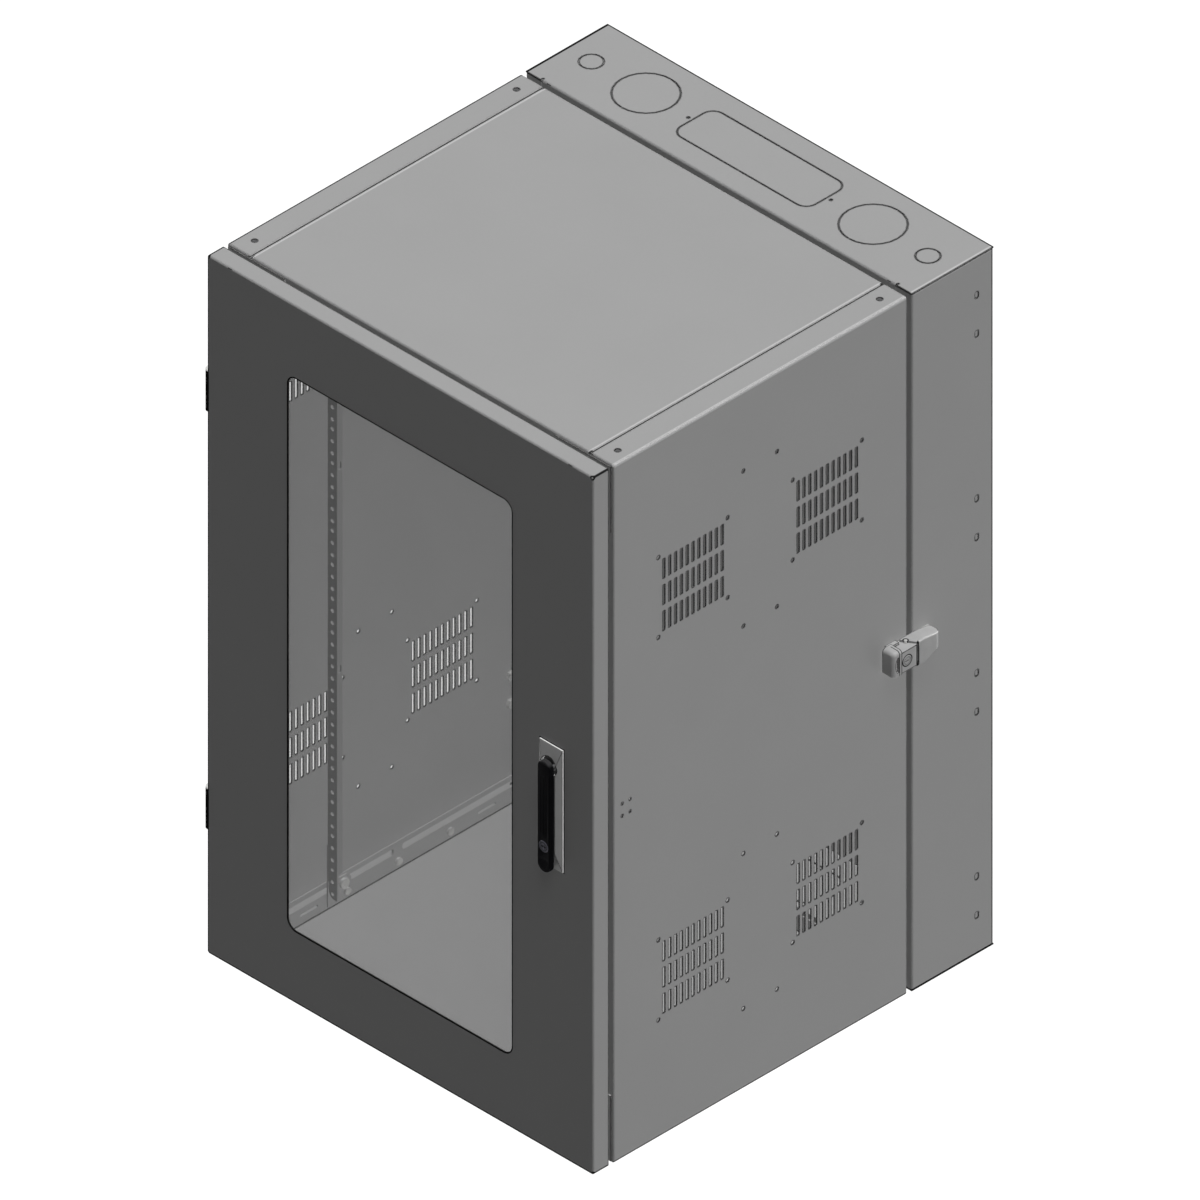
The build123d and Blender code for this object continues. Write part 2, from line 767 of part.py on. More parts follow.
def door_hinge_posts():
    """Hinge halves on the body: a leaf on the side panel and two arms to outer knuckles."""
    posts = []
    half = door_hinge_height / 2
    middle_half = door_hinge_height / 4 + knuckle_gap / 2
    door_side = door_axis_y - 2 * door_barrel_radius
    for rise in door_hinge_heights():
        back = body_front + post_leaf_reach
        post = block(-half_width - door_leaf, -half_width, door_axis_y, back, rise - half, rise + half)
        post += rod_z(door_barrel_radius, rise - half, rise + half, door_axis_x, door_axis_y)
        post -= block(-half_width - 3 * door_barrel_radius, -half_width + overshoot, door_side,
                      body_front - door_gap / 2, rise - middle_half, rise + middle_half)
        post -= block(-half_width - door_leaf_relief, -half_width + overshoot, door_side,
                      body_front - overshoot, rise - half - overshoot, rise + half + overshoot)
        post -= rod_z(door_pin_radius, rise - half - overshoot, rise + half + overshoot,
                      door_axis_x, door_axis_y)
        posts.append(post)
    return posts


def door_hinge_lugs():
    """Hinge halves on the door: a leaf on the door's side and one middle knuckle."""
    lugs = []
    half = door_hinge_height / 4 - knuckle_gap / 2
    bore = door_pin_radius + running_clearance
    for rise in door_hinge_heights():
        lug = block(-half_width - door_leaf, -half_width, door_axis_y, door_axis_y + door_leaf_reach,
                    rise - half, rise + half)
        lug += rod_z(door_barrel_radius, rise - half, rise + half, door_axis_x, door_axis_y)
        hole = rod_z(bore, rise - half - overshoot, rise + half + overshoot, door_axis_x, door_axis_y)
        lugs.append(lug - hole)
    return lugs


def door_hinge_pins():
    """Headed pins of the door hinges."""
    pins = []
    half = door_hinge_height / 2
    for rise in door_hinge_heights():
        pin = rod_z(door_pin_radius, rise - half, rise + half, door_axis_x, door_axis_y)
        head = rod_z(door_barrel_radius, rise + half, rise + half + door_pin_head, door_axis_x, door_axis_y)
        pins.append(pin + head)
    return pins


def door_panel():
    """Door: a folded pan with return lips, a window and the handle's holes."""
    shell = block(-half_width, half_width, door_front, door_rear, -half_height, half_height)
    wide = half_width - sheet
    tall = half_height - sheet
    shell -= block(-wide, wide, door_front + sheet, door_rear - sheet, -tall, tall)
    wide = half_width - door_lip
    tall = half_height - door_lip
    shell -= block(-wide, wide, door_rear - 2 * sheet, door_rear + overshoot, -tall, tall)
    uprights = [(-half_width, door_front), (half_width, door_front)]
    shell = fillet(long_edges(shell, Axis.Z, uprights), bend_radius)
    levels = [(door_front, -half_height), (door_front, half_height)]
    shell = fillet(long_edges(shell, Axis.X, levels), level_bend_radius)
    window = Plane.XZ * RectangleRounded(window_width, window_height, window_corner)
    shell -= Pos(0, door_front + 3 * sheet, 0) * extrude(window, 5 * sheet)
    start = door_front - overshoot
    end = door_front + 2 * sheet
    shell -= rod_y(boss_radius + seam_clearance, start, end, handle_offset, spindle_z)
    shell -= hex_y(handle_stud_across, start, end, handle_offset, -stud_plate_drop)
    relief_x = half_width - door_relief_inset
    relief_z = half_height - door_relief_inset
    for side in (-1, 1):
        for rise in (-1, 1):
            shell -= hex_y(door_relief_across, start, end, side * relief_x, rise * relief_z)
    return shell


def window_pane():
    """Clear pane behind the door's front sheet."""
    start = door_front + sheet + tape_thickness
    wide = window_width + 2 * pane_overlap
    tall = window_height + 2 * pane_overlap
    profile = RectangleRounded(wide, tall, window_corner)
    return Pos(0, start + pane_thickness, 0) * extrude(Plane.XZ * profile, pane_thickness)


def window_tape():
    """Foam tape between the sheet and the pane, set back from the window's edge."""
    wide = window_width + 2 * pane_overlap
    tall = window_height + 2 * pane_overlap
    ring = RectangleRounded(wide, tall, window_corner)
    ring -= RectangleRounded(wide - 2 * tape_width, tall - 2 * tape_width, window_corner - tape_width / 2)
    start = door_front + sheet
    return Pos(0, start + tape_thickness, 0) * extrude(Plane.XZ * ring, tape_thickness)


def clip_places():
    """Edge point and outward direction of each window clip, in X and Z."""
    edge_x = window_width / 2 + pane_overlap
    edge_z = window_height / 2 + pane_overlap
    places = []
    for side in (-1, 1):
        for step in range(clips_up):
            places.append((side * edge_x, edge_z * (2 * step + 1 - clips_up) / clips_up, side, 0))
        for step in range(clips_across):
            places.append((edge_x * (2 * step + 1 - clips_across) / clips_across, side * edge_z, 0, side))
    return places


def window_clips():
    """Folded clips that hold the pane against the tape."""
    sheet_back = door_front + sheet
    pane_back = sheet_back + tape_thickness + pane_thickness
    clips = []
    for x, z, out_x, out_z in clip_places():
        half = clip_width / 2
        if out_x:
            foot = block(x + out_x * seam_clearance, x + out_x * clip_foot,
                         sheet_back, sheet_back + clip_sheet, z - half, z + half)
            riser = block(x + out_x * seam_clearance, x + out_x * (seam_clearance + clip_sheet),
                          sheet_back, pane_back + clip_sheet, z - half, z + half)
            tongue = block(x - out_x * clip_tongue, x + out_x * (seam_clearance + clip_sheet),
                           pane_back, pane_back + clip_sheet, z - half, z + half)
        else:
            foot = block(x - half, x + half, sheet_back, sheet_back + clip_sheet,
                         z + out_z * seam_clearance, z + out_z * clip_foot)
            riser = block(x - half, x + half, sheet_back, pane_back + clip_sheet,
                          z + out_z * seam_clearance, z + out_z * (seam_clearance + clip_sheet))
            tongue = block(x - half, x + half, pane_back, pane_back + clip_sheet,
                           z - out_z * clip_tongue, z + out_z * (seam_clearance + clip_sheet))
        stud_x, stud_z = stud_place(x, z, out_x, out_z)
        clip = foot + riser + tongue
        clip -= hex_y(stud_across, sheet_back - overshoot, sheet_back + 2 * clip_sheet, stud_x, stud_z)
        clips.append(clip)
    return clips


def stud_place(x, z, out_x, out_z):
    """Where a clip's stud stands, in X and Z."""
    inset = seam_clearance + clip_sheet
    middle = inset + (clip_foot - inset) / 2
    return x + out_x * middle, z + out_z * middle


def clip_nuts():
    """Weld studs on the door's front sheet with the nuts that clamp the window clips."""
    start = door_front + sheet
    seat = start + clip_sheet
    nuts = []
    for place in clip_places():
        x, z = stud_place(*place)
        nut = hex_y(clip_nut_across, seat, seat + clip_nut_height, x, z)
        nuts.append(nut + hex_y(stud_across, start, seat, x, z))
    return nuts


def handle_bezel():
    """Handle housing: a thin rim rising as a frustum, a dish for the spindle and a boss."""
    rim = Plane.XZ * Pos(handle_offset, -handle_drop) * Rectangle(bezel_width, bezel_height)
    base = Pos(0, door_front, 0) * extrude(rim, bezel_rim)
    lower = Pos(0, door_front - bezel_rim, 0) * rim
    ridge = Plane.XZ * Pos(handle_offset, -handle_drop) * Rectangle(bezel_ridge_width, bezel_ridge_height)
    upper = Pos(0, door_front - bezel_rise, 0) * ridge
    bezel = base + loft([lower.faces()[0], upper.faces()[0]])
    bezel -= rod_y(dish_radius, door_front - bezel_rise - overshoot, door_front, handle_offset, spindle_z)
    bezel += rod_y(boss_radius, door_front, door_front + boss_length, handle_offset, spindle_z)
    bore = spindle_radius + running_clearance
    boss_end = door_front + boss_length + overshoot
    bezel -= rod_y(bore, door_front - overshoot, boss_end, handle_offset, spindle_z)
    stud_end = door_front + sheet + handle_nut_height + sheet
    bezel += hex_y(handle_stud_across, door_front, stud_end, handle_offset, -stud_plate_drop)
    return bezel


def handle_nuts():
    """Ring nut on the boss and hex nut on the lower stud, behind the door sheet."""
    start = door_front + sheet
    ring = rod_y(boss_radius + handle_nut_height, start, start + handle_nut_height, handle_offset, spindle_z)
    ring -= rod_y(boss_radius, start - overshoot, start + handle_nut_height + overshoot,
                  handle_offset, spindle_z)
    nut = hex_y(handle_nut_across, start, start + handle_nut_height, handle_offset, -stud_plate_drop)
    nut -= hex_y(handle_stud_across, start - overshoot, start + handle_nut_height + overshoot,
                 handle_offset, -stud_plate_drop)
    return [ring, nut]


def handle_spindle():
    """Spindle: a disc with two ears in the dish, a round shaft and a square end."""
    seat = door_front - running_clearance
    spindle = rod_y(dish_radius - seam_clearance, seat - spindle_disc, seat, handle_offset, spindle_z)
    lug_half = lever_lug_width / 2 + ear_gap
    radius = pivot_setback - running_clearance
    for side in (-1, 1):
        near = handle_offset + side * lug_half
        far = handle_offset + side * (lug_half + ear_thickness)
        ear = rod_x(radius, near, far, pivot_y, spindle_z)
        ear += block(near, far, pivot_y, seat, spindle_z - radius, spindle_z + radius)
        spindle += ear
    cam_front = door_front + cam_setback
    spindle += rod_y(spindle_radius, seat, cam_front, handle_offset, spindle_z)
    tail = cam_front + cam_thickness
    half = cam_square / 2
    spindle += block(handle_offset - half, handle_offset + half, cam_front, tail,
                     spindle_z - half, spindle_z + half)
    thread_end = tail + cam_nut_height + cam_thread_end
    spindle += rod_y(half - running_clearance, tail, thread_end, handle_offset, spindle_z)
    pocket = lever_lug_radius + ear_gap
    spindle -= rod_x(pocket, handle_offset - lug_half, handle_offset + lug_half, pivot_y, spindle_z)
    pin_half = lug_half + ear_thickness + overshoot
    spindle -= rod_x(pivot_radius, handle_offset - pin_half, handle_offset + pin_half, pivot_y, spindle_z)
    return spindle


def handle_pivot_pin():
    """Pin along X through the spindle's ears."""
    half = lever_lug_width / 2 + ear_gap + ear_thickness
    return rod_x(pivot_radius, handle_offset - half, handle_offset + half, pivot_y, spindle_z)


def handle_cam():
    """Cam on the spindle's square end, pointing to the door's free edge when closed."""
    front = door_front + cam_setback
    half = cam_width / 2
    hub = Pos(handle_offset, spindle_z) * Circle(half)
    nose = half / 2
    tongue_length = cam_reach - nose
    tongue = Polyline(
        (handle_offset, spindle_z + half),
        (handle_offset + tongue_length, spindle_z + nose),
        (handle_offset + tongue_length, spindle_z - nose),
        (handle_offset, spindle_z - half),
        close=True,
    )
    profile = hub + make_face(tongue) + Pos(handle_offset + tongue_length, spindle_z) * Circle(nose)
    profile -= Pos(handle_offset, spindle_z) * Rectangle(cam_square, cam_square)
    return Pos(0, front + cam_thickness, 0) * extrude(Plane.XZ * profile, cam_thickness)


def handle_cam_nut():
    """Nut that holds the cam on the spindle."""
    start = door_front + cam_setback + cam_thickness
    end = start + cam_nut_height
    nut = hex_y(cam_nut_across, start, end, handle_offset, spindle_z)
    bore = cam_square / 2 - running_clearance
    return nut - rod_y(bore, start - overshoot, end + overshoot, handle_offset, spindle_z)


def handle_lever():
    """Swing lever: a rounded bar over the bezel with a lug to the spindle's pin."""
    middle_z = lever_top - lever_length / 2
    profile = Plane.XZ * Pos(handle_offset, middle_z) * SlotOverall(lever_length, lever_width, rotation=90)
    lever = Pos(0, lever_back, 0) * extrude(profile, lever_thickness)
    rim = lever.faces().sort_by(Axis.Y)[0].edges()
    lever = fillet(rim, lever_edge)
    slope = Plane.YZ * make_face(Polyline(
        (lever_front - overshoot, lever_top - lever_width / 3),
        (lever_back - lever_thickness / 3, lever_top + overshoot),
        (lever_front - overshoot, lever_top + overshoot),
        close=True,
    ))
    wedge = Pos(handle_offset - lever_width, 0, 0) * extrude(slope, 2 * lever_width)
    lever -= wedge
    half = lever_lug_width / 2
    lug = rod_x(lever_lug_radius, handle_offset - half, handle_offset + half, pivot_y, spindle_z)
    lug += block(handle_offset - half, handle_offset + half, lever_back, pivot_y,
                 spindle_z - lever_lug_radius, spindle_z + lever_lug_radius)
    lever += lug
    bore = pivot_radius + running_clearance
    bore_half = half + overshoot
    lever -= rod_x(bore, handle_offset - bore_half, handle_offset + bore_half, pivot_y, spindle_z)
    bore = key_radius + running_clearance
    lever -= rod_y(bore, lever_front - overshoot, lever_front + key_depth, handle_offset, -key_drop)
    return lever


def handle_key_plug():
    """Key cylinder in the lever, with its key slot."""
    front = lever_front - key_proud
    plug = rod_y(key_radius, front, lever_front + key_depth - running_clearance, handle_offset, -key_drop)
    plug = chamfer(plug.faces().sort_by(Axis.Y)[0].edges(), key_proud)
    slot_half = key_slot_length / 2
    plug -= block(handle_offset - key_slot_width / 2, handle_offset + key_slot_width / 2, front - overshoot,
                  front + key_depth / 2, -key_drop - slot_half, -key_drop + slot_half)
    return plug


def latch_plan(shape, z0, z1):
    """A plan outline extruded between two heights."""
    return Pos(0, 0, z0) * extrude(shape, z1 - z0)


def latch_base():
    """Side latch housing: base plate, key housing with a round rear end and a front cap."""
    face = half_width + latch_face
    front = body_rear - latch_base_length
    rear = latch_pin_y + latch_end_radius
    half = latch_housing_height / 2
    base = block(half_width, half_width + latch_base_thickness, front, latch_pin_y - latch_pin_rise,
                 -latch_base_height / 2, latch_base_height / 2)
    end = Pos(latch_pin_x, latch_pin_y) * Circle(latch_end_radius)
    plan = plan_box(half_width, face, front + latch_front_inset, latch_pin_y)
    plan += end & plan_box(half_width, face, front, rear)
    plan += plan_box(half_width, latch_pin_x, latch_pin_y, body_rear)
    plan -= plan_box(half_width, half_width + latch_tail_lift, body_rear, rear)
    latch = base + latch_plan(plan, -half, half)
    cap_back = front + latch_cap_front
    cap = block(half_width + latch_base_thickness / 2, face, front - latch_cap_front, cap_back,
                -latch_cap_height / 2, latch_cap_height / 2)
    outer = [edge for edge in cap.edges() if matches(edge.center().X, face)]
    rim = [edge for edge in outer if edge.center().Y < cap_back - place_match]
    cap = fillet(rim, latch_cap_radius)
    recess = Plane.YZ * Pos(front, 0) * Ellipse(latch_recess_half_width, latch_recess_half_height)
    cap -= Pos(face - latch_recess_depth, 0, 0) * extrude(recess, 2 * latch_recess_depth)
    latch += cap
    latch -= rod_z(latch_pin_radius, -half - overshoot, half + overshoot, latch_pin_x, latch_pin_y)
    key_y = latch_pin_y - latch_key_setback
    latch -= rod_x(latch_key_radius + running_clearance, face - latch_key_depth, face + overshoot, key_y, 0)
    return latch


def latch_pin():
    """Upright pivot pin of the side latch lever."""
    half = latch_housing_height / 2 + latch_lever_clearance + latch_ear
    return rod_z(latch_pin_radius, -half, half, latch_pin_x, latch_pin_y)


def latch_key_plug():
    """Key cylinder in the face of the side latch."""
    face = half_width + latch_face
    key_y = latch_pin_y - latch_key_setback
    plug = rod_x(latch_key_radius, face - latch_key_depth + running_clearance, face + key_proud, key_y, 0)
    plug = chamfer(plug.faces().sort_by(Axis.X)[-1].edges(), key_proud)
    half = key_slot_length / 2
    plug -= block(face - key_depth / 2, face + overshoot, key_y - half, key_y + half,
                  -key_slot_width / 2, key_slot_width / 2)
    return plug


def latch_lever():
    """Side latch lever: two ears on the pin and a rounded tail over the wall pan."""
    face = half_width + latch_face
    inner = half_width + latch_tail_lift
    tail_end = latch_pin_y + latch_tail_reach
    ear_radius = latch_pin_rise - latch_tail_lift
    cut_radius = latch_end_radius + latch_lever_clearance
    tail = make_face(Polyline(
        (inner, latch_pin_y),
        (latch_pin_x, latch_pin_y - ear_radius),
        (face, latch_pin_y + cut_radius / 2),
        (face - latch_tail_draft, tail_end - latch_tail_bevel),
        (inner + latch_tail_toe, tail_end),
        (inner, tail_end - latch_tail_toe),
        close=True,
    ))
    plan = tail + Pos(latch_pin_x, latch_pin_y) * Circle(ear_radius)
    top = latch_housing_height / 2 + latch_lever_clearance + latch_ear
    lever = latch_plan(plan, -top, top)
    gap = latch_housing_height / 2 + latch_lever_clearance
    ahead = latch_pin_y - latch_tail_reach
    beside = face + latch_face
    hollow = Pos(latch_pin_x, latch_pin_y) * Circle(cut_radius)
    hollow += plan_box(half_width, beside, ahead, latch_pin_y)
    hollow += plan_box(latch_pin_x, beside, latch_pin_y, latch_pin_y + latch_hollow_reach)
    lever -= latch_plan(hollow, -gap, gap)
    rake_start = latch_pin_y + latch_tail_rake
    side = make_face(Polyline(
        (ahead, -top),
        (rake_start, -top),
        (tail_end, -latch_tail_low),
        (tail_end, latch_tail_high),
        (rake_start, top),
        (ahead, top),
        close=True,
    ))
    lever = lever & Pos(half_width, 0, 0) * extrude(Plane.YZ * side, 2 * latch_face)
    bore = latch_pin_radius + running_clearance
    return lever - rod_z(bore, -top - overshoot, top + overshoot, latch_pin_x, latch_pin_y)


def latch_keeper():
    """Keeper plate on the wall pan under the tail of the side latch."""
    start = pan_front + keeper_setback
    keeper = block(half_width, half_width + keeper_thickness, start, start + keeper_length,
                   -keeper_height / 2, keeper_height / 2)
    return fillet(keeper.edges().filter_by(Axis.X), keeper_corner)


write("pan_back_and_sides", [pan_back()])
write("pan_top", [pan_top()])
write("pan_bottom", [mirror(pan_top(), Plane.XY)])
write("pan_hinge_leaves", swing_leaves(1))
write("pan_hinge_pins", swing_pins())
write("pan_hinge_bolts", swing_bolts(1))
write("latch_keeper", [latch_keeper()])

write("side_panel_right", [side_panel_right()])
write("side_panel_left", [side_panel_left()])
write("top_panel", [top_panel()])
write("bottom_panel", [mirror(top_panel(), Plane.XY)])
write("strip_nuts", strip_nuts())
write("seam_bolts", seam_bolts())
write("corner_gussets", corner_gussets())
write("rack_rail_right", [rack_rail_right()])
write("rack_rail_left", [mirror(rack_rail_right(), Plane.YZ)])
write("rail_feet", mirrored_z(mirrored_x([rail_foot()])))
write("rail_foot_bolts", foot_bolts())
write("body_hinge_leaves", swing_leaves(-1))
write("body_hinge_bolts", swing_bolts(-1))
write("door_hinge_posts", door_hinge_posts())
write("door_hinge_pins", door_hinge_pins())
write("side_latch_base", [latch_base()])
write("side_latch_pin", [latch_pin()])
write("side_latch_lever", [latch_lever()])
write("side_latch_key_plug", [latch_key_plug()])

write("door_panel", [door_panel()])
write("window_pane", [window_pane()])
write("window_tape", [window_tape()])
write("window_clips", window_clips())
write("window_clip_nuts", clip_nuts())
write("door_hinge_lugs", door_hinge_lugs())
write("handle_bezel", [handle_bezel()])
write("handle_nuts", handle_nuts())
write("handle_spindle", [handle_spindle()])
write("handle_pivot_pin", [handle_pivot_pin()])
write("handle_cam", [handle_cam()])
write("handle_cam_nut", [handle_cam_nut()])
write("handle_lever", [handle_lever()])
write("handle_key_plug", [handle_key_plug()])
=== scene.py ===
import json
import math

import bmesh
import bpy
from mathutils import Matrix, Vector


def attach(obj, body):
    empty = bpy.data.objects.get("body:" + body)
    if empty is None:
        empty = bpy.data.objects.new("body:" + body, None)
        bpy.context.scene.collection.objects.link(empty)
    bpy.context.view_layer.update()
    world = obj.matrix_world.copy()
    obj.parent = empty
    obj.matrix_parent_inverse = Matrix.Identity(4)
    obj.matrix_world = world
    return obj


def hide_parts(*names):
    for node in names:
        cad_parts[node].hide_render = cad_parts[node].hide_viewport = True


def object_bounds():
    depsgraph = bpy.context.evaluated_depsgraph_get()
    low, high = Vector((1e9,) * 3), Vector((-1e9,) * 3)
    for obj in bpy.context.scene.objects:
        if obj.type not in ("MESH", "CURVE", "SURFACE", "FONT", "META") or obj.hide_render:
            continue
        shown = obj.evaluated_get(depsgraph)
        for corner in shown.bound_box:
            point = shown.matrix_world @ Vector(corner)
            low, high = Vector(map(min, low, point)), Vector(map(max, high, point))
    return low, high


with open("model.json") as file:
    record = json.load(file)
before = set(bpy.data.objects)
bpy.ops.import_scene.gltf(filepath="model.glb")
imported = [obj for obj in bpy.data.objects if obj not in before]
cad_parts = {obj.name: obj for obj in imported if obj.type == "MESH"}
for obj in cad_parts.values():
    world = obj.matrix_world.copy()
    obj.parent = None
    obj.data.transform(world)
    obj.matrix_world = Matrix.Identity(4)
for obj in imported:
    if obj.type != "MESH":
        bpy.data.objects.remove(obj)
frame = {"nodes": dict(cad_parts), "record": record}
cad_low, cad_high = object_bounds()

# The photograph's camera: level turn, height and width of view, and the point it looks at
TURN = math.radians(45)
HEIGHT = math.radians(35.264)
VIEW_WIDTH = 1.2842
AIM = Vector((0.0007, -0.3042, 0.0003))
DISTANCE = 4.0

# The cabinet hangs on a wall, so the floor is well below it
FLOOR = cad_low.z - 0.95
FLOOR_SIZE = 16.0

# Outer faces of the three closed sections, without the hinges and the latch
LEFT, RIGHT = -0.2921, 0.2921
FRONT, REAR = -0.6064, 0.0
BOTTOM, TOP = -0.4572, 0.4572

# Where the middle section ends behind the door and at the wall pan
BODY_FRONT = -0.5754
BODY_BACK = -0.1309

# Just over one sheet's thickness, just over two, and the width of the marks on the folds
SHEET = 0.0016
SKIN = 0.0032
FOLD = 0.0025

# Where the strips of the side panels meet the top and bottom panels
SEAM_X = 0.2576
SEAM_GROOVE = 0.0034

# Cut-out of the window
WINDOW_HALF = (0.1694, 0.3620)
WINDOW_CORNER = 0.0127

# The bezel's outline on the door
HANDLE_X = 0.2303
BEZEL_Z = -0.0025
BEZEL_HALF = (0.0175, 0.0800)
BEZEL_RIM = 0.0015

# Swing lever of the handle: its ends and faces, its pivot pin, and its key cylinder in X and Z
LEVER_FRONT, LEVER_BACK = -0.6193, -0.6133
LEVER_BOTTOM, LEVER_TOP = -0.0840, 0.0606
LEVER_HALF = 0.00975
PIVOT = (HANDLE_X, -0.6096, 0.05085)
KEY = (HANDLE_X, -0.0505)
KEY_RADIUS = 0.0070
GROOVE_RADIUS = 0.0006

# Side latch: the body's skin, the latch's face, its pin in X and Y, and its key cylinder
LATCH_SEAT, LATCH_FACE = 0.2921, 0.3121
LATCH_PIN = (0.3001, -0.1411)
LATCH_KEY_Y = -0.1505
LATCH_KEY_RADIUS = 0.0063

# Housing of the side latch: half its height, its front, its round end, and the cap with its seams
HOUSING_HALF = 0.0132
HOUSING_FRONT = -0.1629
HOUSING_END = 0.0130
PLATE_FRONT, PLATE_HALF, PLATE_THICKNESS = -0.1649, 0.0160, 0.0060
CAP_FRONT, CAP_BACK, CAP_HALF = -0.1714, -0.1584, 0.0170
CAP_SEAMS = (-0.1587, -0.1622)
RECESS_Y, RECESS_RADIUS, RECESS_STRETCH = -0.1640, 0.0035, 2.8

# Tail of the side latch: its end, its room over the skin and behind the pin, its ears and its taper
TAIL_END = -0.0991
TAIL_LIFT = 0.0022
TAIL_CLEAR = 0.0083
EAR_HALF = 0.0158
EAR_SLANT = (0.0125, -0.0120, 0)
TAPER_START = LATCH_PIN[1] + 0.018
TAPER_HEIGHT, TAPER_RISE = 0.0180, 0.0038

# Room between moving pieces, and a length that reaches past any piece of the latch
SLACK = 0.0004
BORE_SLACK = 0.0001
BEYOND = 0.02

# Colours, linear
PAINT = (0.352, 0.352, 0.352)
# The cabinet's paint made darker for the rails, as painted shade for the dim inside behind the door
SHADED_RAIL_PAINT = (0.30, 0.30, 0.30)
TRIM = (0.37, 0.37, 0.37)
ZINC = (0.62, 0.62, 0.61)
DARK_STEEL = (0.035, 0.035, 0.036)
GREY_STEEL = (0.09, 0.09, 0.092)
# Colour of the painted highlights on the bezel's rim and along the latch tail's edge
PAINTED_HIGHLIGHT = (0.78, 0.78, 0.77)
CYLINDER = (0.075, 0.075, 0.095)
NYLON = (0.0025, 0.0025, 0.003)
# Colour of the painted sheen on the lever's top end
NYLON_SHEEN = (0.035, 0.035, 0.036)
PANE = (0.58, 0.58, 0.58)
FOAM = (0.02, 0.02, 0.02)
# Dark of the lines, also used for painted shade in grooves, gaps and holes
EDGE = (0.018, 0.018, 0.018)
PANE_OPACITY = 0.267

# Light: the even light on the object, and the floor's tone and glow where it is seen
AMBIENT = 0.025
FLOOR_TONE, FLOOR_GLOW = 0.75, 0.32
FLOOR_UNSEEN_TONE = 0.05


class Signal:
    """An output socket of a finish's nodes that takes part in arithmetic."""

    def __init__(self, finish, socket):
        self.finish = finish
        self.socket = socket

    def reckon(self, operation, first, second):
        return self.finish.node("ShaderNodeMath", {"operation": operation}, {0: first, 1: second})

    def __add__(self, other):
        return self.reckon("ADD", self, other)

    def __radd__(self, other):
        return self.reckon("ADD", other, self)

    def __sub__(self, other):
        return self.reckon("SUBTRACT", self, other)

    def __rsub__(self, other):
        return self.reckon("SUBTRACT", other, self)

    def __mul__(self, other):
        return self.reckon("MULTIPLY", self, other)

    def __rmul__(self, other):
        return self.reckon("MULTIPLY", other, self)

    def absolute(self):
        return self.reckon("ABSOLUTE", self, 0)


class Finish:
    """A material whose pattern lies in the cabinet's own coordinates."""

    def __init__(self, name):
        self.material = bpy.data.materials.new(name)
        self.material.use_nodes = True
        self.tree = self.material.node_tree
        self.tree.nodes.clear()
        self.place = self.node("ShaderNodeTexCoord", out="Object")

    def node(self, kind, settings=None, inputs=None, out=0):
        """Adds a node, sets or links its inputs, and gives one of its outputs."""
        made = self.tree.nodes.new(kind)
        for key, value in (settings or {}).items():
            setattr(made, key, value)
        for key, value in (inputs or {}).items():
            if isinstance(value, Signal):
                self.tree.links.new(value.socket, made.inputs[key])
            else:
                made.inputs[key].default_value = value
        return Signal(self, made.outputs[out])

    def noise(self, size, detail=2.0):
        """Noise from 0 to 1 whose grains are about this many metres across."""
        settings = {"Vector": self.place, "Scale": 1 / size, "Detail": detail}
        return self.node("ShaderNodeTexNoise", {}, settings)

    def ramp(self, low, high, value):
        """Value spread from 0 at low to 1 at high."""
        return self.node("ShaderNodeMapRange", {"clamp": True}, {0: value, 1: low, 2: high})

    def tint(self, amount, first, second):
        """A colour between two plain ones, by the amount."""
        return self.blend(amount, (*first, 1), (*second, 1))

    def relief(self, height, depth, strength):
        """A bump of this many metres."""
        return self.node("ShaderNodeBump", {}, {"Height": height, "Distance": depth, "Strength": strength})

    def edges(self, width):
        """1 on sharp edges within this width in metres, 0 on flats and soft folds."""
        least_turn, full_turn = 0.006, 0.04
        rounded = self.node("ShaderNodeBevel", {"samples": 6}, {"Radius": width})
        flat = self.node("ShaderNodeNewGeometry", out=1)
        facing = self.node("ShaderNodeVectorMath", {"operation": "DOT_PRODUCT"}, {0: rounded, 1: flat}, out=1)
        return self.ramp(least_turn, full_turn, 1 - facing)

    def largest(self, first, second):
        return first.reckon("MAXIMUM", first, second)

    def smallest(self, first, second):
        return first.reckon("MINIMUM", first, second)

    def along(self, axis):
        """The place along X, Y or Z."""
        return self.node("ShaderNodeSeparateXYZ", {}, {0: self.place}, out="XYZ".index(axis))

    def blend(self, amount, first, second):
        """A mix of two colours with alpha, which may be linked."""
        return self.node("ShaderNodeMix", {"data_type": "RGBA"}, {0: amount, 6: first, 7: second}, out=2)

    def lined(self, lines, shader):
        """The shader with dull dark lines on it, which also carry the painted shade."""
        dark = self.node("ShaderNodeBsdfPrincipled", {}, {
            "Base Color": (*EDGE, 1),
            "Roughness": 0.9,
            "Specular IOR Level": 0.0,
        })
        return self.node("ShaderNodeMixShader", {}, {0: lines, 1: shader, 2: dark})

    def close(self, shader):
        """Ends the finish with its shader and gives the material."""
        output = self.tree.nodes.new("ShaderNodeOutputMaterial")
        self.tree.links.new(shader.socket, output.inputs["Surface"])
        return self.material


def shade(colour, factor):
    """The colour made darker or lighter."""
    return tuple(c * factor for c in colour)


def off_axis(finish, first, second):
    """Distance in metres from an axis, from the two offsets across it."""
    offset = finish.node("ShaderNodeCombineXYZ", {}, {0: first, 1: second})
    return finish.node("ShaderNodeVectorMath", {"operation": "LENGTH"}, {0: offset}, out=1)


def band(finish, value, middle, half):
    """1 where the value is within half of the middle."""
    blur = 0.0001
    return finish.ramp(half + blur, half - blur, (value - middle).absolute())


def outer_skin(coat, x, y, z):
    """1 on the outside of the cabinet, 0 on everything inside."""
    depth = coat.smallest(coat.smallest(x - LEFT, RIGHT - x), coat.smallest(z - BOTTOM, TOP - z))
    depth = coat.smallest(depth, coat.smallest(y - FRONT, REAR - y))
    return coat.ramp(SKIN, 0.9 * SKIN, depth)


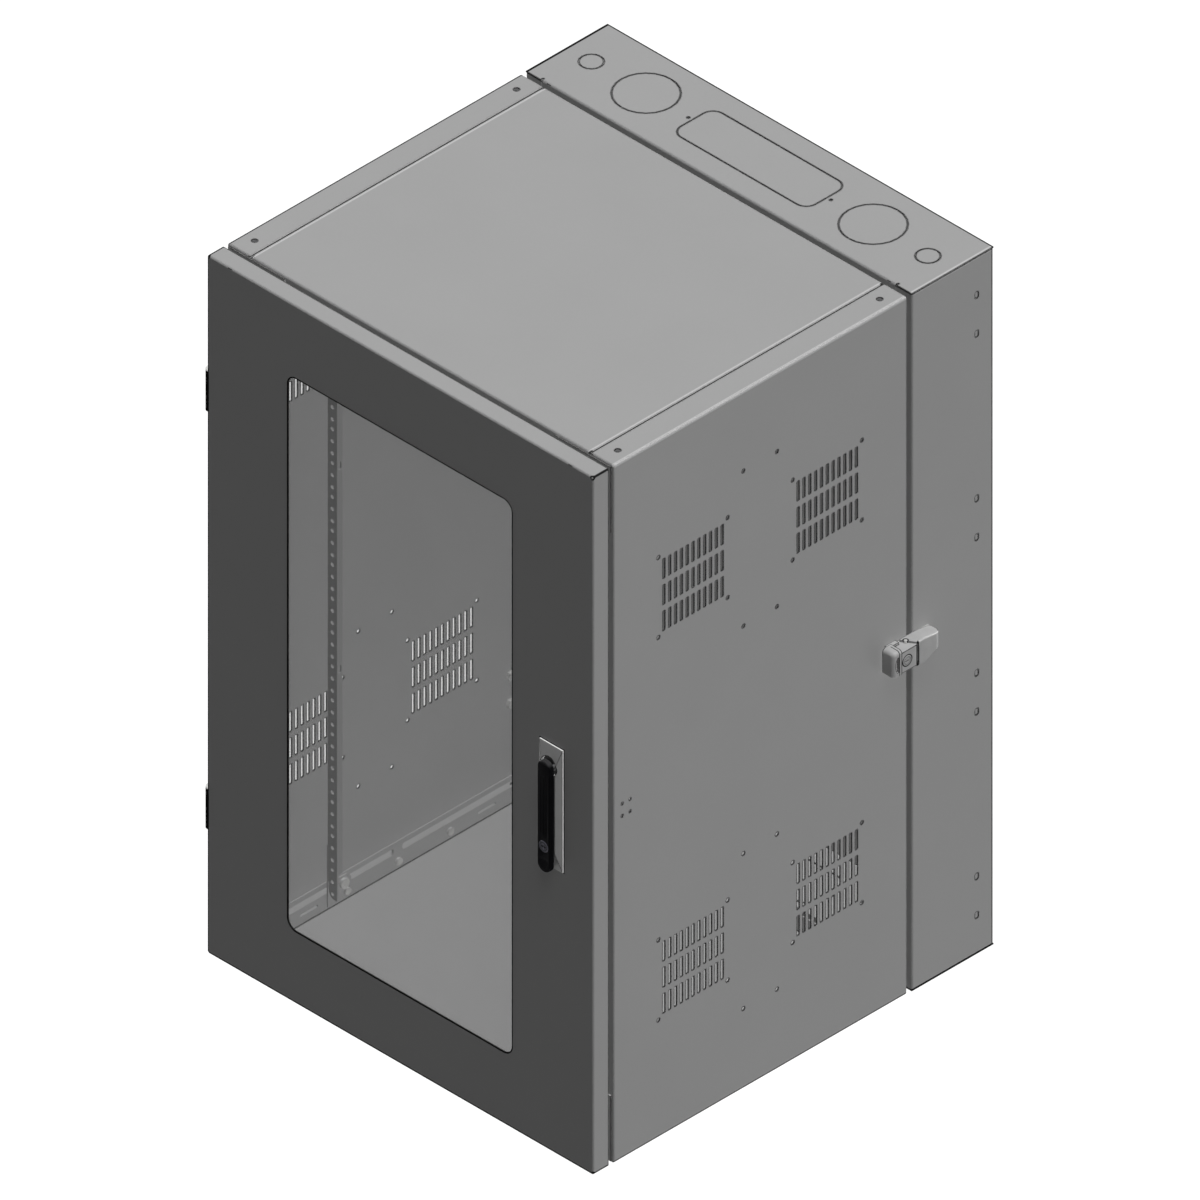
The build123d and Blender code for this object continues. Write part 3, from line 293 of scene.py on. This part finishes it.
def long_corners(coat, x, y, z):
    """1 along the folds and edges where two outer faces of the closed cabinet turn apart."""
    left, right = x - LEFT, RIGHT - x
    front, rear = y - FRONT, REAR - y
    bottom, top = z - BOTTOM, TOP - z
    folded = coat.smallest(coat.smallest(left + front, front + bottom), bottom + right)
    folded = coat.smallest(folded, coat.smallest(left + top, right + rear))
    corner = coat.smallest(folded, rear + top + 0.5 * FOLD)
    return coat.ramp(1.3 * FOLD, 1.1 * FOLD, corner)


def seam_groove_shade(coat):
    """Painted shade: 1 down in the grooves where the strips meet the top and bottom panels."""
    beside = coat.ramp(SEAM_GROOVE, 0.8 * SEAM_GROOVE, (coat.along("X").absolute() - SEAM_X).absolute())
    height = coat.along("Z").absolute()
    mouth = (cad_high.z - 0.0005, cad_high.z - 0.0008)
    foot = (cad_high.z - SHEET, cad_high.z - 0.85 * SHEET)
    return beside * coat.ramp(*mouth, height) * coat.ramp(*foot, height)


def bright_folds(coat, x, y, z):
    """1 on the soft folds that catch the light along the top, beside the strips and down the sides."""
    half_width = 0.0012
    skin = (0.0012, 0.0008)
    top = TOP - z.absolute()
    over_side = coat.ramp(1.5 * FOLD, 1.3 * FOLD, (RIGHT - x) + top)
    beside_strip = band(coat, x.absolute(), SEAM_X - SEAM_GROOVE, half_width)
    beside_strip = beside_strip * coat.ramp(*skin, top) * coat.ramp(BODY_BACK, BODY_BACK - 0.001, y)
    behind_door = coat.ramp(BODY_FRONT - 0.0006, BODY_FRONT - 0.0002, y)
    return coat.largest(over_side, beside_strip) * behind_door


def door_corners(coat, x, y, z):
    """Painted shade: 1 along the open corners of the door's folded edges, and in the relief holes at their
    ends.
    """
    edge, notch, hole, skin = (0.0022, 0.0017), (0.0062, 0.0056), (0.0130, 0.0120), (0.0010, 0.0013)
    across = RIGHT - x.absolute()
    upright = TOP - z.absolute()
    from_front = y - FRONT
    beyond = across + upright + from_front
    inside = coat.ramp(*skin, coat.smallest(coat.smallest(across, upright), from_front))
    ends = coat.largest(coat.ramp(*notch, beyond), coat.ramp(*hole, beyond) * inside)
    return coat.largest(coat.ramp(*edge, across + upright), ends)


def window_rim(coat, x, y, z):
    """1 on the door's front along the rim of the window's cut-out."""
    across = coat.largest(x.absolute() - (WINDOW_HALF[0] - WINDOW_CORNER), 0)
    upright = coat.largest(z.absolute() - (WINDOW_HALF[1] - WINDOW_CORNER), 0)
    rim = coat.ramp(WINDOW_CORNER + 0.0019, WINDOW_CORNER + 0.0014, off_axis(coat, across, upright))
    return rim * coat.ramp(FRONT + 1.2 * SHEET, FRONT + SHEET, y)


def bezel_shadow(coat, x, y, z):
    """1 on the door's front in the narrow painted shadow round the handle's bezel."""
    width, skin = (0.0017, 0.0012), (FRONT + 0.0008, FRONT + 0.0004)
    across = (x - HANDLE_X).absolute() - BEZEL_HALF[0]
    upright = (z - BEZEL_Z).absolute() - BEZEL_HALF[1]
    return coat.ramp(*width, coat.largest(across, upright)) * coat.ramp(*skin, y)


def powder_coat(name, colour, gloss, door=False):
    """Satin powder coat: faint mottling, fine orange peel, dark edges, painted shade in the seam grooves, the
    door's corners and round the bezel, and painted highlights on the folds.
    """
    line_width = 0.0024
    coat = Finish(name)
    mottle = coat.ramp(0.3, 0.7, coat.noise(0.12))
    grain = coat.ramp(0.35, 0.75, coat.noise(0.0016, 3.0))
    base = coat.tint(mottle * 0.5 + grain * 0.5, shade(colour, 0.975), shade(colour, 1.025))
    place = (coat.along("X"), coat.along("Y"), coat.along("Z"))
    lines = coat.largest(coat.edges(line_width) * outer_skin(coat, *place), long_corners(coat, *place))
    lines = coat.largest(lines, seam_groove_shade(coat))
    if door:
        lines = coat.largest(lines, coat.largest(window_rim(coat, *place), bezel_shadow(coat, *place)))
        lines = coat.largest(lines, door_corners(coat, *place))
    # Painted highlight: the folds' colour is made half as light again, standing in for the light they catch
    base = coat.blend(bright_folds(coat, *place), base, (*shade(colour, 1.5), 1))
    peel = coat.noise(0.0022, 2.0)
    satin = coat.node("ShaderNodeBsdfPrincipled", {}, {
        "Base Color": base,
        "Roughness": 0.36 + grain * 0.06,
        "Specular IOR Level": gloss,
        "Normal": coat.relief(peel, 0.00006, 0.35),
    })
    return coat.close(coat.lined(lines, satin))


def zinc_plate():
    """Zinc plated steel: cloudy and finely grained."""
    plate = Finish("zinc_plate")
    cloud = plate.ramp(0.3, 0.7, plate.noise(0.004, 3.0))
    surface = plate.node("ShaderNodeBsdfPrincipled", {}, {
        "Base Color": plate.tint(cloud, shade(ZINC, 0.85), shade(ZINC, 1.1)),
        "Roughness": 0.38 + cloud * 0.15,
        "Metallic": 0.55,
        "Specular IOR Level": 0.4,
        "Normal": plate.relief(plate.noise(0.0006, 2.0), 0.00003, 0.4),
    })
    return plate.close(surface)


def dark_steel(name, colour):
    """Phosphated steel, worn a little brighter in patches."""
    steel = Finish(name)
    cloud = steel.ramp(0.4, 0.8, steel.noise(0.003, 3.0))
    surface = steel.node("ShaderNodeBsdfPrincipled", {}, {
        "Base Color": steel.tint(cloud, colour, shade(colour, 1.6)),
        "Roughness": 0.5 + cloud * 0.1,
        "Specular IOR Level": 0.1,
        "Normal": steel.relief(steel.noise(0.0005, 2.0), 0.00002, 0.4),
    })
    return steel.close(surface)


def latch_lines(cast, x, y, z):
    """Dark lines of the side latch: painted shade in its gap, its seams, and the rings round cylinder and
    pin.
    """
    seam_half, ring_half, pin_ring_radius = 0.0005, 0.0007, 0.0028
    gap_edge = (HOUSING_END - 0.0006, HOUSING_END - 0.0004)
    gap_front = (0.0040, 0.0045)
    gap_back = (TAIL_CLEAR + 0.0003, TAIL_CLEAR + 0.0001)
    along = y - LATCH_PIN[1]
    from_pin = off_axis(cast, x - LATCH_PIN[0], along)
    # Painted shade in the gap between the housing's round end and the tail
    gap = cast.ramp(*gap_edge, from_pin) * cast.ramp(*gap_back, along) * cast.ramp(*gap_front, along)
    seams = cast.largest(*(band(cast, y, seam, seam_half) for seam in CAP_SEAMS))
    seams = seams * cast.ramp(LATCH_SEAT + 0.006, LATCH_SEAT + 0.007, x)
    collar = band(cast, off_axis(cast, y - LATCH_KEY_Y, z), LATCH_KEY_RADIUS + ring_half, ring_half)
    collar = collar * cast.ramp(LATCH_FACE - 0.0015, LATCH_FACE - 0.001, x)
    pin_ring = band(cast, from_pin, pin_ring_radius, ring_half)
    pin_ring = pin_ring * cast.ramp(EAR_HALF - 0.001, EAR_HALF - 0.0006, z.absolute())
    return cast.largest(cast.largest(gap, seams), cast.largest(collar, pin_ring))


def die_cast(name, rim=False):
    """Painted zinc casting with dark parting lines, painted shade in the latch's gap, and a painted highlight
    on the bezel's rim and on the tail's edge.
    """
    line_width, bright_width = 0.0018, 0.0022
    bright_edge = (0.0056, 0.0046)
    tail_start = (LATCH_PIN[1] + 0.006, LATCH_PIN[1] + 0.010)
    cast = Finish(name)
    cloud = cast.ramp(0.3, 0.7, cast.noise(0.012, 2.0))
    fine = cast.noise(0.0009, 2.0)
    base = cast.tint(cloud, shade(TRIM, 0.96), shade(TRIM, 1.04))
    x, y, z = cast.along("X"), cast.along("Y"), cast.along("Z")
    lines = cast.edges(line_width)
    if rim:
        # Painted highlight all round the bezel's rim
        bright = cast.ramp(FRONT - 1.15 * BEZEL_RIM, FRONT - 1.05 * BEZEL_RIM, y)
        lines = lines * (1 - bright)
    else:
        # Painted highlight along the tail's upper outer edge
        bright = cast.ramp(*bright_edge, (LATCH_FACE - x) + (EAR_HALF - z)) * cast.ramp(*tail_start, y)
        lines = cast.largest(lines * (1 - bright), latch_lines(cast, x, y, z))
        bright = bright * cast.edges(bright_width)
    painted = cast.node("ShaderNodeBsdfPrincipled", {}, {
        "Base Color": cast.blend(bright, base, (*PAINTED_HIGHLIGHT, 1)),
        "Roughness": 0.40 + fine * 0.10,
        "Specular IOR Level": 0.35,
        "Normal": cast.relief(fine, 0.00003, 0.4),
    })
    return cast.close(cast.lined(lines, painted))


def lock_cylinder(name, middle, flatten, radius, colour):
    """Face of a lock cylinder: a turned rim, a dark groove, a plug and its level keyway in painted shade."""
    lock = Finish(name)
    offset = lock.node("ShaderNodeVectorMath", {"operation": "SUBTRACT"}, {0: lock.place, 1: middle})
    offset = lock.node("ShaderNodeVectorMath", {"operation": "MULTIPLY"}, {0: offset, 1: flatten})
    distance = lock.node("ShaderNodeVectorMath", {"operation": "LENGTH"}, {0: offset}, out=1)
    groove = lock.ramp(0.05 * radius, 0.02 * radius, (distance - 0.72 * radius).absolute())
    height = lock.node("ShaderNodeSeparateXYZ", {}, {0: offset}, out=2)
    # Painted shade in the keyway slot
    keyway = lock.ramp(0.14 * radius, 0.10 * radius, height.absolute())
    keyway = keyway * lock.ramp(0.50 * radius, 0.46 * radius, distance)
    turned = lock.ramp(0.3, 0.7, lock.noise(0.0007, 2.0))
    surface = lock.node("ShaderNodeBsdfPrincipled", {}, {
        "Base Color": lock.tint(turned, shade(colour, 0.8), shade(colour, 1.2)),
        "Roughness": 0.42 + turned * 0.1,
        "Specular IOR Level": 0.15,
        "Normal": lock.relief(turned, 0.00002, 0.4),
    })
    return lock.close(lock.lined(lock.largest(groove, keyway), surface))


def moulded_nylon():
    """Black moulded lever with a fine spark-eroded grain and a painted sheen lightening its top end."""
    nylon = Finish("moulded_nylon")
    grain = nylon.noise(0.0005, 3.0)
    wear = nylon.ramp(0.45, 0.8, nylon.noise(0.02, 3.0))
    # Painted sheen: the lever's top end is made lighter, standing in for the light it catches
    top_sheen = nylon.ramp(LEVER_TOP - 0.0050, LEVER_TOP - 0.0020, nylon.along("Z"))
    base = nylon.tint(wear, NYLON, shade(NYLON, 1.8))
    surface = nylon.node("ShaderNodeBsdfPrincipled", {}, {
        "Base Color": nylon.blend(top_sheen, base, (*NYLON_SHEEN, 1)),
        "Roughness": 0.45 + grain * 0.15,
        "Specular IOR Level": 0.015,
        "Normal": nylon.relief(grain, 0.00004, 0.5),
    })
    return nylon.close(surface)


def tinted_pane():
    """Lightly smoked pane, clean, with the faintest dust."""
    pane = Finish("tinted_pane")
    dust = pane.ramp(0.4, 0.9, pane.noise(0.05, 4.0))
    surface = pane.node("ShaderNodeBsdfPrincipled", {}, {
        "Base Color": (*PANE, 1),
        "Roughness": 0.03 + dust * 0.05,
        "Specular IOR Level": 0.10,
        "Alpha": PANE_OPACITY + dust * 0.01,
    })
    return pane.close(surface)


def foam_rubber():
    """Closed-cell foam tape."""
    foam = Finish("foam_rubber")
    cells = foam.noise(0.0008, 2.0)
    surface = foam.node("ShaderNodeBsdfPrincipled", {}, {
        "Base Color": foam.tint(cells, shade(FOAM, 0.7), shade(FOAM, 1.4)),
        "Roughness": 0.85,
        "Normal": foam.relief(cells, 0.0001, 0.6),
    })
    return foam.close(surface)


def middle_of(low, high):
    """The point half way between two corners."""
    return tuple((a + b) / 2 for a, b in zip(low, high))


def settle(piece):
    """Moves a piece's place, turn and size into its mesh."""
    bpy.ops.object.transform_apply(location=True, rotation=True, scale=True)
    return piece


def block(name, low, high):
    """A block between two corners."""
    bpy.ops.mesh.primitive_cube_add(size=1, location=middle_of(low, high))
    piece = bpy.context.active_object
    piece.name = name
    piece.scale = tuple(b - a for a, b in zip(low, high))
    return settle(piece)


def rod(name, radius, start, end, sides=48):
    """A round bar from one point to another."""
    run = Vector(end) - Vector(start)
    turn = run.to_track_quat("Z", "Y").to_euler()
    middle = middle_of(start, end)
    bpy.ops.mesh.primitive_cylinder_add(
        vertices=sides, radius=radius, depth=run.length, location=middle, rotation=turn)
    piece = bpy.context.active_object
    piece.name = name
    return settle(piece)


def open_mesh(piece):
    """Goes into edit mode on one piece alone, with nothing chosen."""
    bpy.ops.object.select_all(action="DESELECT")
    bpy.context.view_layer.objects.active = piece
    piece.select_set(True)
    bpy.ops.object.mode_set(mode="EDIT")
    bpy.ops.mesh.select_mode(type="VERT")
    bpy.ops.mesh.select_all(action="DESELECT")


def close_mesh():
    """Leaves edit mode with no piece chosen."""
    bpy.ops.object.mode_set(mode="OBJECT")
    bpy.ops.object.select_all(action="DESELECT")


def choose_edges(piece, test):
    """Chooses the edges whose two ends pass the test."""
    bpy.ops.mesh.select_mode(type="EDGE")
    bpy.ops.mesh.select_all(action="DESELECT")
    mesh = bmesh.from_edit_mesh(piece.data)
    for edge in mesh.edges:
        edge.select_set(test(edge.verts[0].co, edge.verts[1].co))
    bmesh.update_edit_mesh(piece.data)


def choose_faces(piece, test):
    """Chooses the faces whose middle and normal pass the test."""
    bpy.ops.mesh.select_mode(type="FACE")
    bpy.ops.mesh.select_all(action="DESELECT")
    mesh = bmesh.from_edit_mesh(piece.data)
    for face in mesh.faces:
        face.select_set(test(face.calc_center_median(), face.normal))
    bmesh.update_edit_mesh(piece.data)


def near(value, target):
    """Whether two places are the same to a tenth of a millimetre."""
    return abs(value - target) < 0.0001


def combine(piece, tool, operation):
    """Adds a tool's shape to a piece, takes it out, or keeps what they share."""
    bpy.ops.object.select_all(action="DESELECT")
    bpy.context.view_layer.objects.active = piece
    piece.select_set(True)
    step = piece.modifiers.new("combine", "BOOLEAN")
    step.operation = operation
    step.solver = "EXACT"
    step.object = tool
    bpy.ops.object.modifier_apply(modifier=step.name)
    bpy.data.objects.remove(tool)


def drill(piece, radius, start, end, sides=48):
    """Cuts a round hole or groove from one point to another."""
    combine(piece, rod("drill", radius, start, end, sides), "DIFFERENCE")


def heal_mesh():
    """Merges doubled points and turns all faces outwards, in edit mode."""
    bpy.ops.mesh.select_all(action="SELECT")
    bpy.ops.mesh.remove_doubles(threshold=0.00002)
    bpy.ops.mesh.normals_make_consistent(inside=False)


def soften(piece, width, segments):
    """Rounds a piece's sharp edges and smooths its shading."""
    bpy.ops.object.select_all(action="DESELECT")
    bpy.context.view_layer.objects.active = piece
    piece.select_set(True)
    step = piece.modifiers.new("soften", "BEVEL")
    step.width = width
    step.segments = segments
    step.limit_method = "ANGLE"
    step.angle_limit = math.radians(38)
    bpy.ops.object.modifier_apply(modifier=step.name)
    bpy.ops.object.shade_smooth_by_angle(angle=math.radians(35))
    bpy.ops.object.select_all(action="DESELECT")


def finish_piece(piece, material, body, node):
    """Gives a piece its material and puts it in its CAD node's place."""
    piece.data.materials.clear()
    piece.data.materials.append(material)
    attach(piece, body)
    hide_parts(node)


def swing_lever():
    """Lever of the handle: a long rounded grip with grooves, a key bore and a lug on its pivot."""
    groove_step, groove_low, groove_high = 0.0042, -0.034, 0.040
    foot_grooves, foot_start, foot_step = 4, LEVER_BOTTOM + 0.0065, 0.0030
    foot_half, foot_spread = 0.0040, 0.0009
    lug_half, lug_radius, lug_bore = 0.0038, 0.0029, 0.0016
    low_end = LEVER_BOTTOM + LEVER_HALF
    lever = rod("swing_lever", LEVER_HALF, (HANDLE_X, LEVER_BACK, low_end),
                (HANDLE_X, LEVER_FRONT, low_end), 50)
    open_mesh(lever)
    choose_edges(lever, lambda a, b: a.z > low_end and b.z > low_end)
    bpy.ops.transform.translate(value=(0, 0, LEVER_TOP - LEVER_BOTTOM - 2 * LEVER_HALF))
    heal_mesh()
    choose_faces(lever, lambda middle, normal: near(middle.y, LEVER_FRONT) and normal.y < -0.99)
    bpy.ops.mesh.bevel(offset=0.0016, segments=4, affect="EDGES")
    close_mesh()
    groove_y = LEVER_FRONT - 0.0001
    for x in (HANDLE_X - groove_step, HANDLE_X, HANDLE_X + groove_step):
        drill(lever, GROOVE_RADIUS, (x, groove_y, groove_low), (x, groove_y, groove_high), 12)
    for step in range(foot_grooves):
        height = foot_start + foot_step * step
        half = foot_half + foot_spread * step
        drill(lever, GROOVE_RADIUS, (HANDLE_X - half, groove_y, height),
              (HANDLE_X + half, groove_y, height), 12)
    pivot_x, pivot_y, pivot_z = PIVOT
    web = block("web", (pivot_x - lug_half, LEVER_BACK - 0.001, pivot_z - lug_radius),
                (pivot_x + lug_half, pivot_y, pivot_z + lug_radius))
    combine(lever, web, "UNION")
    lug = rod("lug", lug_radius, (pivot_x - lug_half, pivot_y, pivot_z),
              (pivot_x + lug_half, pivot_y, pivot_z))
    combine(lever, lug, "UNION")
    drill(lever, lug_bore, (pivot_x - 0.01, pivot_y, pivot_z), (pivot_x + 0.01, pivot_y, pivot_z), 24)
    drill(lever, KEY_RADIUS + BORE_SLACK, (KEY[0], LEVER_FRONT - 0.01, KEY[1]),
          (KEY[0], LEVER_BACK + 0.01, KEY[1]))
    soften(lever, 0.00018, 2)
    return lever


def latch_housing():
    """Housing of the side latch: base plate, rounded body and cap with its oval finger recess."""
    pin_x, pin_y = LATCH_PIN
    housing = block("latch_housing", (LATCH_SEAT, HOUSING_FRONT, -HOUSING_HALF),
                    (LATCH_FACE, pin_y, HOUSING_HALF))
    end = rod("end", HOUSING_END, (*LATCH_PIN, -HOUSING_HALF), (*LATCH_PIN, HOUSING_HALF), 64)
    combine(end, block("keep", (LATCH_SEAT, pin_y - 0.001, -BEYOND), (LATCH_FACE, 0.0, BEYOND)), "INTERSECT")
    combine(housing, end, "UNION")
    lift = block("lift", (LATCH_SEAT - 0.001, BODY_BACK, -BEYOND), (LATCH_SEAT + TAIL_LIFT, 0.0, BEYOND))
    combine(housing, lift, "DIFFERENCE")
    drill(housing, 0.0020, (*LATCH_PIN, -BEYOND), (*LATCH_PIN, BEYOND), 24)
    plate = block("plate", (LATCH_SEAT, PLATE_FRONT, -PLATE_HALF),
                  (LATCH_SEAT + PLATE_THICKNESS, pin_y - 0.008, PLATE_HALF))
    combine(housing, plate, "UNION")
    cap = block("cap", (LATCH_SEAT + 0.003, CAP_FRONT, -CAP_HALF), (LATCH_FACE, CAP_BACK, CAP_HALF))
    open_mesh(cap)
    choose_edges(cap, lambda a, b: near(a.y, b.y) and near(a.y, CAP_FRONT) and near(a.z, b.z))
    bpy.ops.mesh.bevel(offset=0.0050, segments=6, affect="EDGES")
    choose_edges(cap, lambda a, b: near(a.x, LATCH_FACE) and near(b.x, LATCH_FACE)
                 and min(a.y, b.y) < CAP_BACK - 0.0006)
    bpy.ops.mesh.bevel(offset=0.0042, segments=6, affect="EDGES")
    close_mesh()
    recess = rod("recess", RECESS_RADIUS, (LATCH_FACE - 0.0025, RECESS_Y, 0),
                 (LATCH_FACE + 0.002, RECESS_Y, 0), 40)
    recess.scale = (1, 1, RECESS_STRETCH)
    combine(cap, settle(recess), "DIFFERENCE")
    combine(housing, cap, "UNION")
    drill(housing, LATCH_KEY_RADIUS + BORE_SLACK, (LATCH_FACE - 0.007, LATCH_KEY_Y, 0),
          (LATCH_FACE + 0.002, LATCH_KEY_Y, 0))
    soften(housing, 0.0005, 3)
    return housing


def latch_tail():
    """Swing lever of the side latch: two ears on the pin and a long tapering rounded tail."""
    pin_x, pin_y = LATCH_PIN
    inner = LATCH_SEAT + TAIL_LIFT
    ears = pin_y - (pin_x - inner)
    tail = block("latch_tail", (inner, ears, -EAR_HALF), (LATCH_FACE, TAIL_END, EAR_HALF))
    open_mesh(tail)
    bpy.ops.mesh.select_all(action="SELECT")
    bpy.ops.mesh.bisect(plane_co=(0, TAPER_START, 0), plane_no=(0, 1, 0))
    choose_faces(tail, lambda middle, normal: near(middle.y, TAIL_END))
    bpy.ops.transform.resize(value=(1, 1, TAPER_HEIGHT / (2 * EAR_HALF)), center_override=(0, TAIL_END, 0))
    bpy.ops.transform.translate(value=(0, 0, TAPER_RISE))
    bpy.ops.mesh.select_all(action="SELECT")
    bpy.ops.mesh.bisect(plane_co=(pin_x, ears, 0), plane_no=EAR_SLANT, use_fill=True, clear_outer=True)
    heal_mesh()
    for x, offset, segments in ((LATCH_FACE, 0.0080, 8), (inner, 0.0050, 5)):
        choose_edges(tail, lambda a, b: near(a.x, b.x) and near(a.y, b.y) and near(a.y, TAIL_END)
                     and near(a.x, x))
        bpy.ops.mesh.bevel(offset=offset, segments=segments, affect="EDGES")
    choose_edges(tail, lambda a, b: near(a.y, b.y) and near(a.x, b.x) and near(a.y, ears))
    bpy.ops.mesh.bevel(offset=0.0030, segments=6, affect="EDGES")
    choose_edges(tail, lambda a, b: (near(a.x, LATCH_FACE) and near(b.x, LATCH_FACE)
                                     and not near(a.y, b.y) and abs(a.z) > 0.005))
    bpy.ops.mesh.bevel(offset=0.0018, segments=3, affect="EDGES")
    close_mesh()
    gap = HOUSING_HALF + SLACK
    hollow = rod("hollow", HOUSING_END + SLACK, (*LATCH_PIN, -gap), (*LATCH_PIN, gap), 64)
    beside = block("beside", (LATCH_SEAT - 0.002, pin_y - 0.04, -gap), (LATCH_FACE + 0.01, pin_y, gap))
    combine(hollow, beside, "UNION")
    behind = block("behind", (pin_x, pin_y - 0.001, -gap), (LATCH_FACE + 0.01, pin_y + TAIL_CLEAR, gap))
    combine(hollow, behind, "UNION")
    combine(tail, hollow, "DIFFERENCE")
    drill(tail, 0.0021, (*LATCH_PIN, -BEYOND), (*LATCH_PIN, BEYOND), 24)
    soften(tail, 0.0003, 2)
    return tail


def dress(names, material):
    """Gives CAD nodes one finish."""
    for name in names:
        mesh = frame["nodes"][name].data
        mesh.materials.clear()
        mesh.materials.append(material)


def dress_by_slot(finishes):
    """Gives every CAD node the finish of its material slot."""
    for part in frame["record"]["subparts"]:
        dress([part["node"]], finishes[part["material_slot"]])


def camera():
    """The photograph's camera: parallel view from the front right and above."""
    back = Vector((math.sin(TURN) * math.cos(HEIGHT), -math.cos(TURN) * math.cos(HEIGHT), math.sin(HEIGHT)))
    lens = bpy.data.cameras.new("camera")
    lens.type = "ORTHO"
    lens.ortho_scale = VIEW_WIDTH
    lens.clip_end = 40
    eye = bpy.data.objects.new("camera", lens)
    eye.location = AIM + back * DISTANCE
    eye.rotation_euler = (-back).to_track_quat("-Z", "Y").to_euler()
    bpy.context.collection.objects.link(eye)
    bpy.context.scene.camera = eye


def sun(name, towards, strength, width, shadow):
    """A far lamp that shines along a direction."""
    lamp = bpy.data.lights.new(name, "SUN")
    lamp.energy = strength
    lamp.angle = math.radians(width)
    lamp.use_shadow = shadow
    holder = bpy.data.objects.new(name, lamp)
    holder.rotation_euler = Vector(towards).to_track_quat("-Z", "Y").to_euler()
    bpy.context.collection.objects.link(holder)


def seen_directly(tree):
    """1 for rays from the camera, in gloss and through glass, and 0 for light on the object."""
    path = tree.nodes.new("ShaderNodeLightPath")
    seen = path.outputs["Is Camera Ray"]
    for other in ("Is Glossy Ray", "Is Transmission Ray"):
        larger = tree.nodes.new("ShaderNodeMath")
        larger.operation = "MAXIMUM"
        tree.links.new(seen, larger.inputs[0])
        tree.links.new(path.outputs[other], larger.inputs[1])
        seen = larger.outputs[0]
    return seen


def white_world(ambient):
    """White where it is seen, and a dim even light on the object."""
    world = bpy.data.worlds.new("studio")
    world.use_nodes = True
    bpy.context.scene.world = world
    tree = world.node_tree
    background = tree.nodes["Background"]
    background.inputs["Color"].default_value = (1, 1, 1, 1)
    level = tree.nodes.new("ShaderNodeMapRange")
    tree.links.new(seen_directly(tree), level.inputs[0])
    level.inputs[3].default_value = ambient
    level.inputs[4].default_value = 1.0
    tree.links.new(level.outputs[0], background.inputs["Strength"])


def pale_floor():
    """White floor far below the cabinet that keeps a soft shadow."""
    bpy.ops.mesh.primitive_plane_add(size=FLOOR_SIZE, location=(0, 0, FLOOR))
    floor = bpy.context.active_object
    floor.name = "floor"
    white = bpy.data.materials.new("pale_floor")
    white.use_nodes = True
    tree = white.node_tree
    skin = tree.nodes["Principled BSDF"]
    seen = seen_directly(tree)
    tone = tree.nodes.new("ShaderNodeMix")
    tone.data_type = "RGBA"
    tree.links.new(seen, tone.inputs[0])
    tone.inputs[6].default_value = (FLOOR_UNSEEN_TONE,) * 3 + (1,)
    tone.inputs[7].default_value = (FLOOR_TONE,) * 3 + (1,)
    tree.links.new(tone.outputs[2], skin.inputs["Base Color"])
    skin.inputs["Roughness"].default_value = 0.9
    skin.inputs["Specular IOR Level"].default_value = 0.0
    skin.inputs["Emission Color"].default_value = (1, 1, 1, 1)
    glow = tree.nodes.new("ShaderNodeMapRange")
    tree.links.new(seen, glow.inputs[0])
    glow.inputs[3].default_value = 0.0
    glow.inputs[4].default_value = FLOOR_GLOW
    tree.links.new(glow.outputs[0], skin.inputs["Emission Strength"])
    floor.data.materials.append(white)


bpy.ops.object.select_all(action="DESELECT")
cast = die_cast("die_cast")
nylon = moulded_nylon()
dress_by_slot({
    "cabinet_paint": powder_coat("powder_coat", PAINT, 0.18),
    "zinc_steel": zinc_plate(),
    "latch_metal": cast,
    "black_plastic": nylon,
    "window_glass": tinted_pane(),
    "foam_tape": foam_rubber(),
})
dress(["door_panel"], powder_coat("door_coat", PAINT, 0.18, door=True))
# Painted shade: the rails get a darker copy of the cabinet's paint
dress(["rack_rail_right", "rack_rail_left"], powder_coat("shaded_rail_coat", SHADED_RAIL_PAINT, 0.02))
dress(["handle_bezel"], die_cast("bezel_cast", rim=True))
# Dark steel for the spindle and the strip nuts; on the spindle the dark colour is also painted shade for its
# place under the lever
dress(["handle_spindle", "strip_nuts"], dark_steel("phosphated_steel", GREY_STEEL))
dress(["handle_pivot_pin"], dark_steel("blackened_steel", DARK_STEEL))
dress(["handle_key_plug"], lock_cylinder(
    "handle_cylinder", (KEY[0], 0, KEY[1]), (1, 0, 1), KEY_RADIUS, CYLINDER))
dress(["side_latch_key_plug"], lock_cylinder(
    "latch_cylinder", (0, LATCH_KEY_Y, 0), (0, 1, 1), LATCH_KEY_RADIUS, TRIM))

finish_piece(swing_lever(), nylon, "handle_swing_lever", "handle_lever")
finish_piece(latch_housing(), cast, "swing_body", "side_latch_base")
finish_piece(latch_tail(), cast, "latch_swing_lever", "side_latch_lever")

camera()
white_world(AMBIENT)
sun("overhead", (0, 0, -1), 2.24, 8, False)
sun("right_hand", (-1, 0, 0), 0.94, 8, False)
sun("back_rim", (-1, -1, -1), 0.8, 8, False)
sun("left_hand", (1, 0, 0), 1.0, 8, False)
sun("rear", (0, -1, 0), 0.8, 8, False)
sun("under", (0, 0, 1), 0.7, 8, False)
sun("soft_key", (-0.35, 0.25, -1), 0.35, 25, True)
pale_floor()
bpy.context.scene.view_settings.view_transform = "Standard"
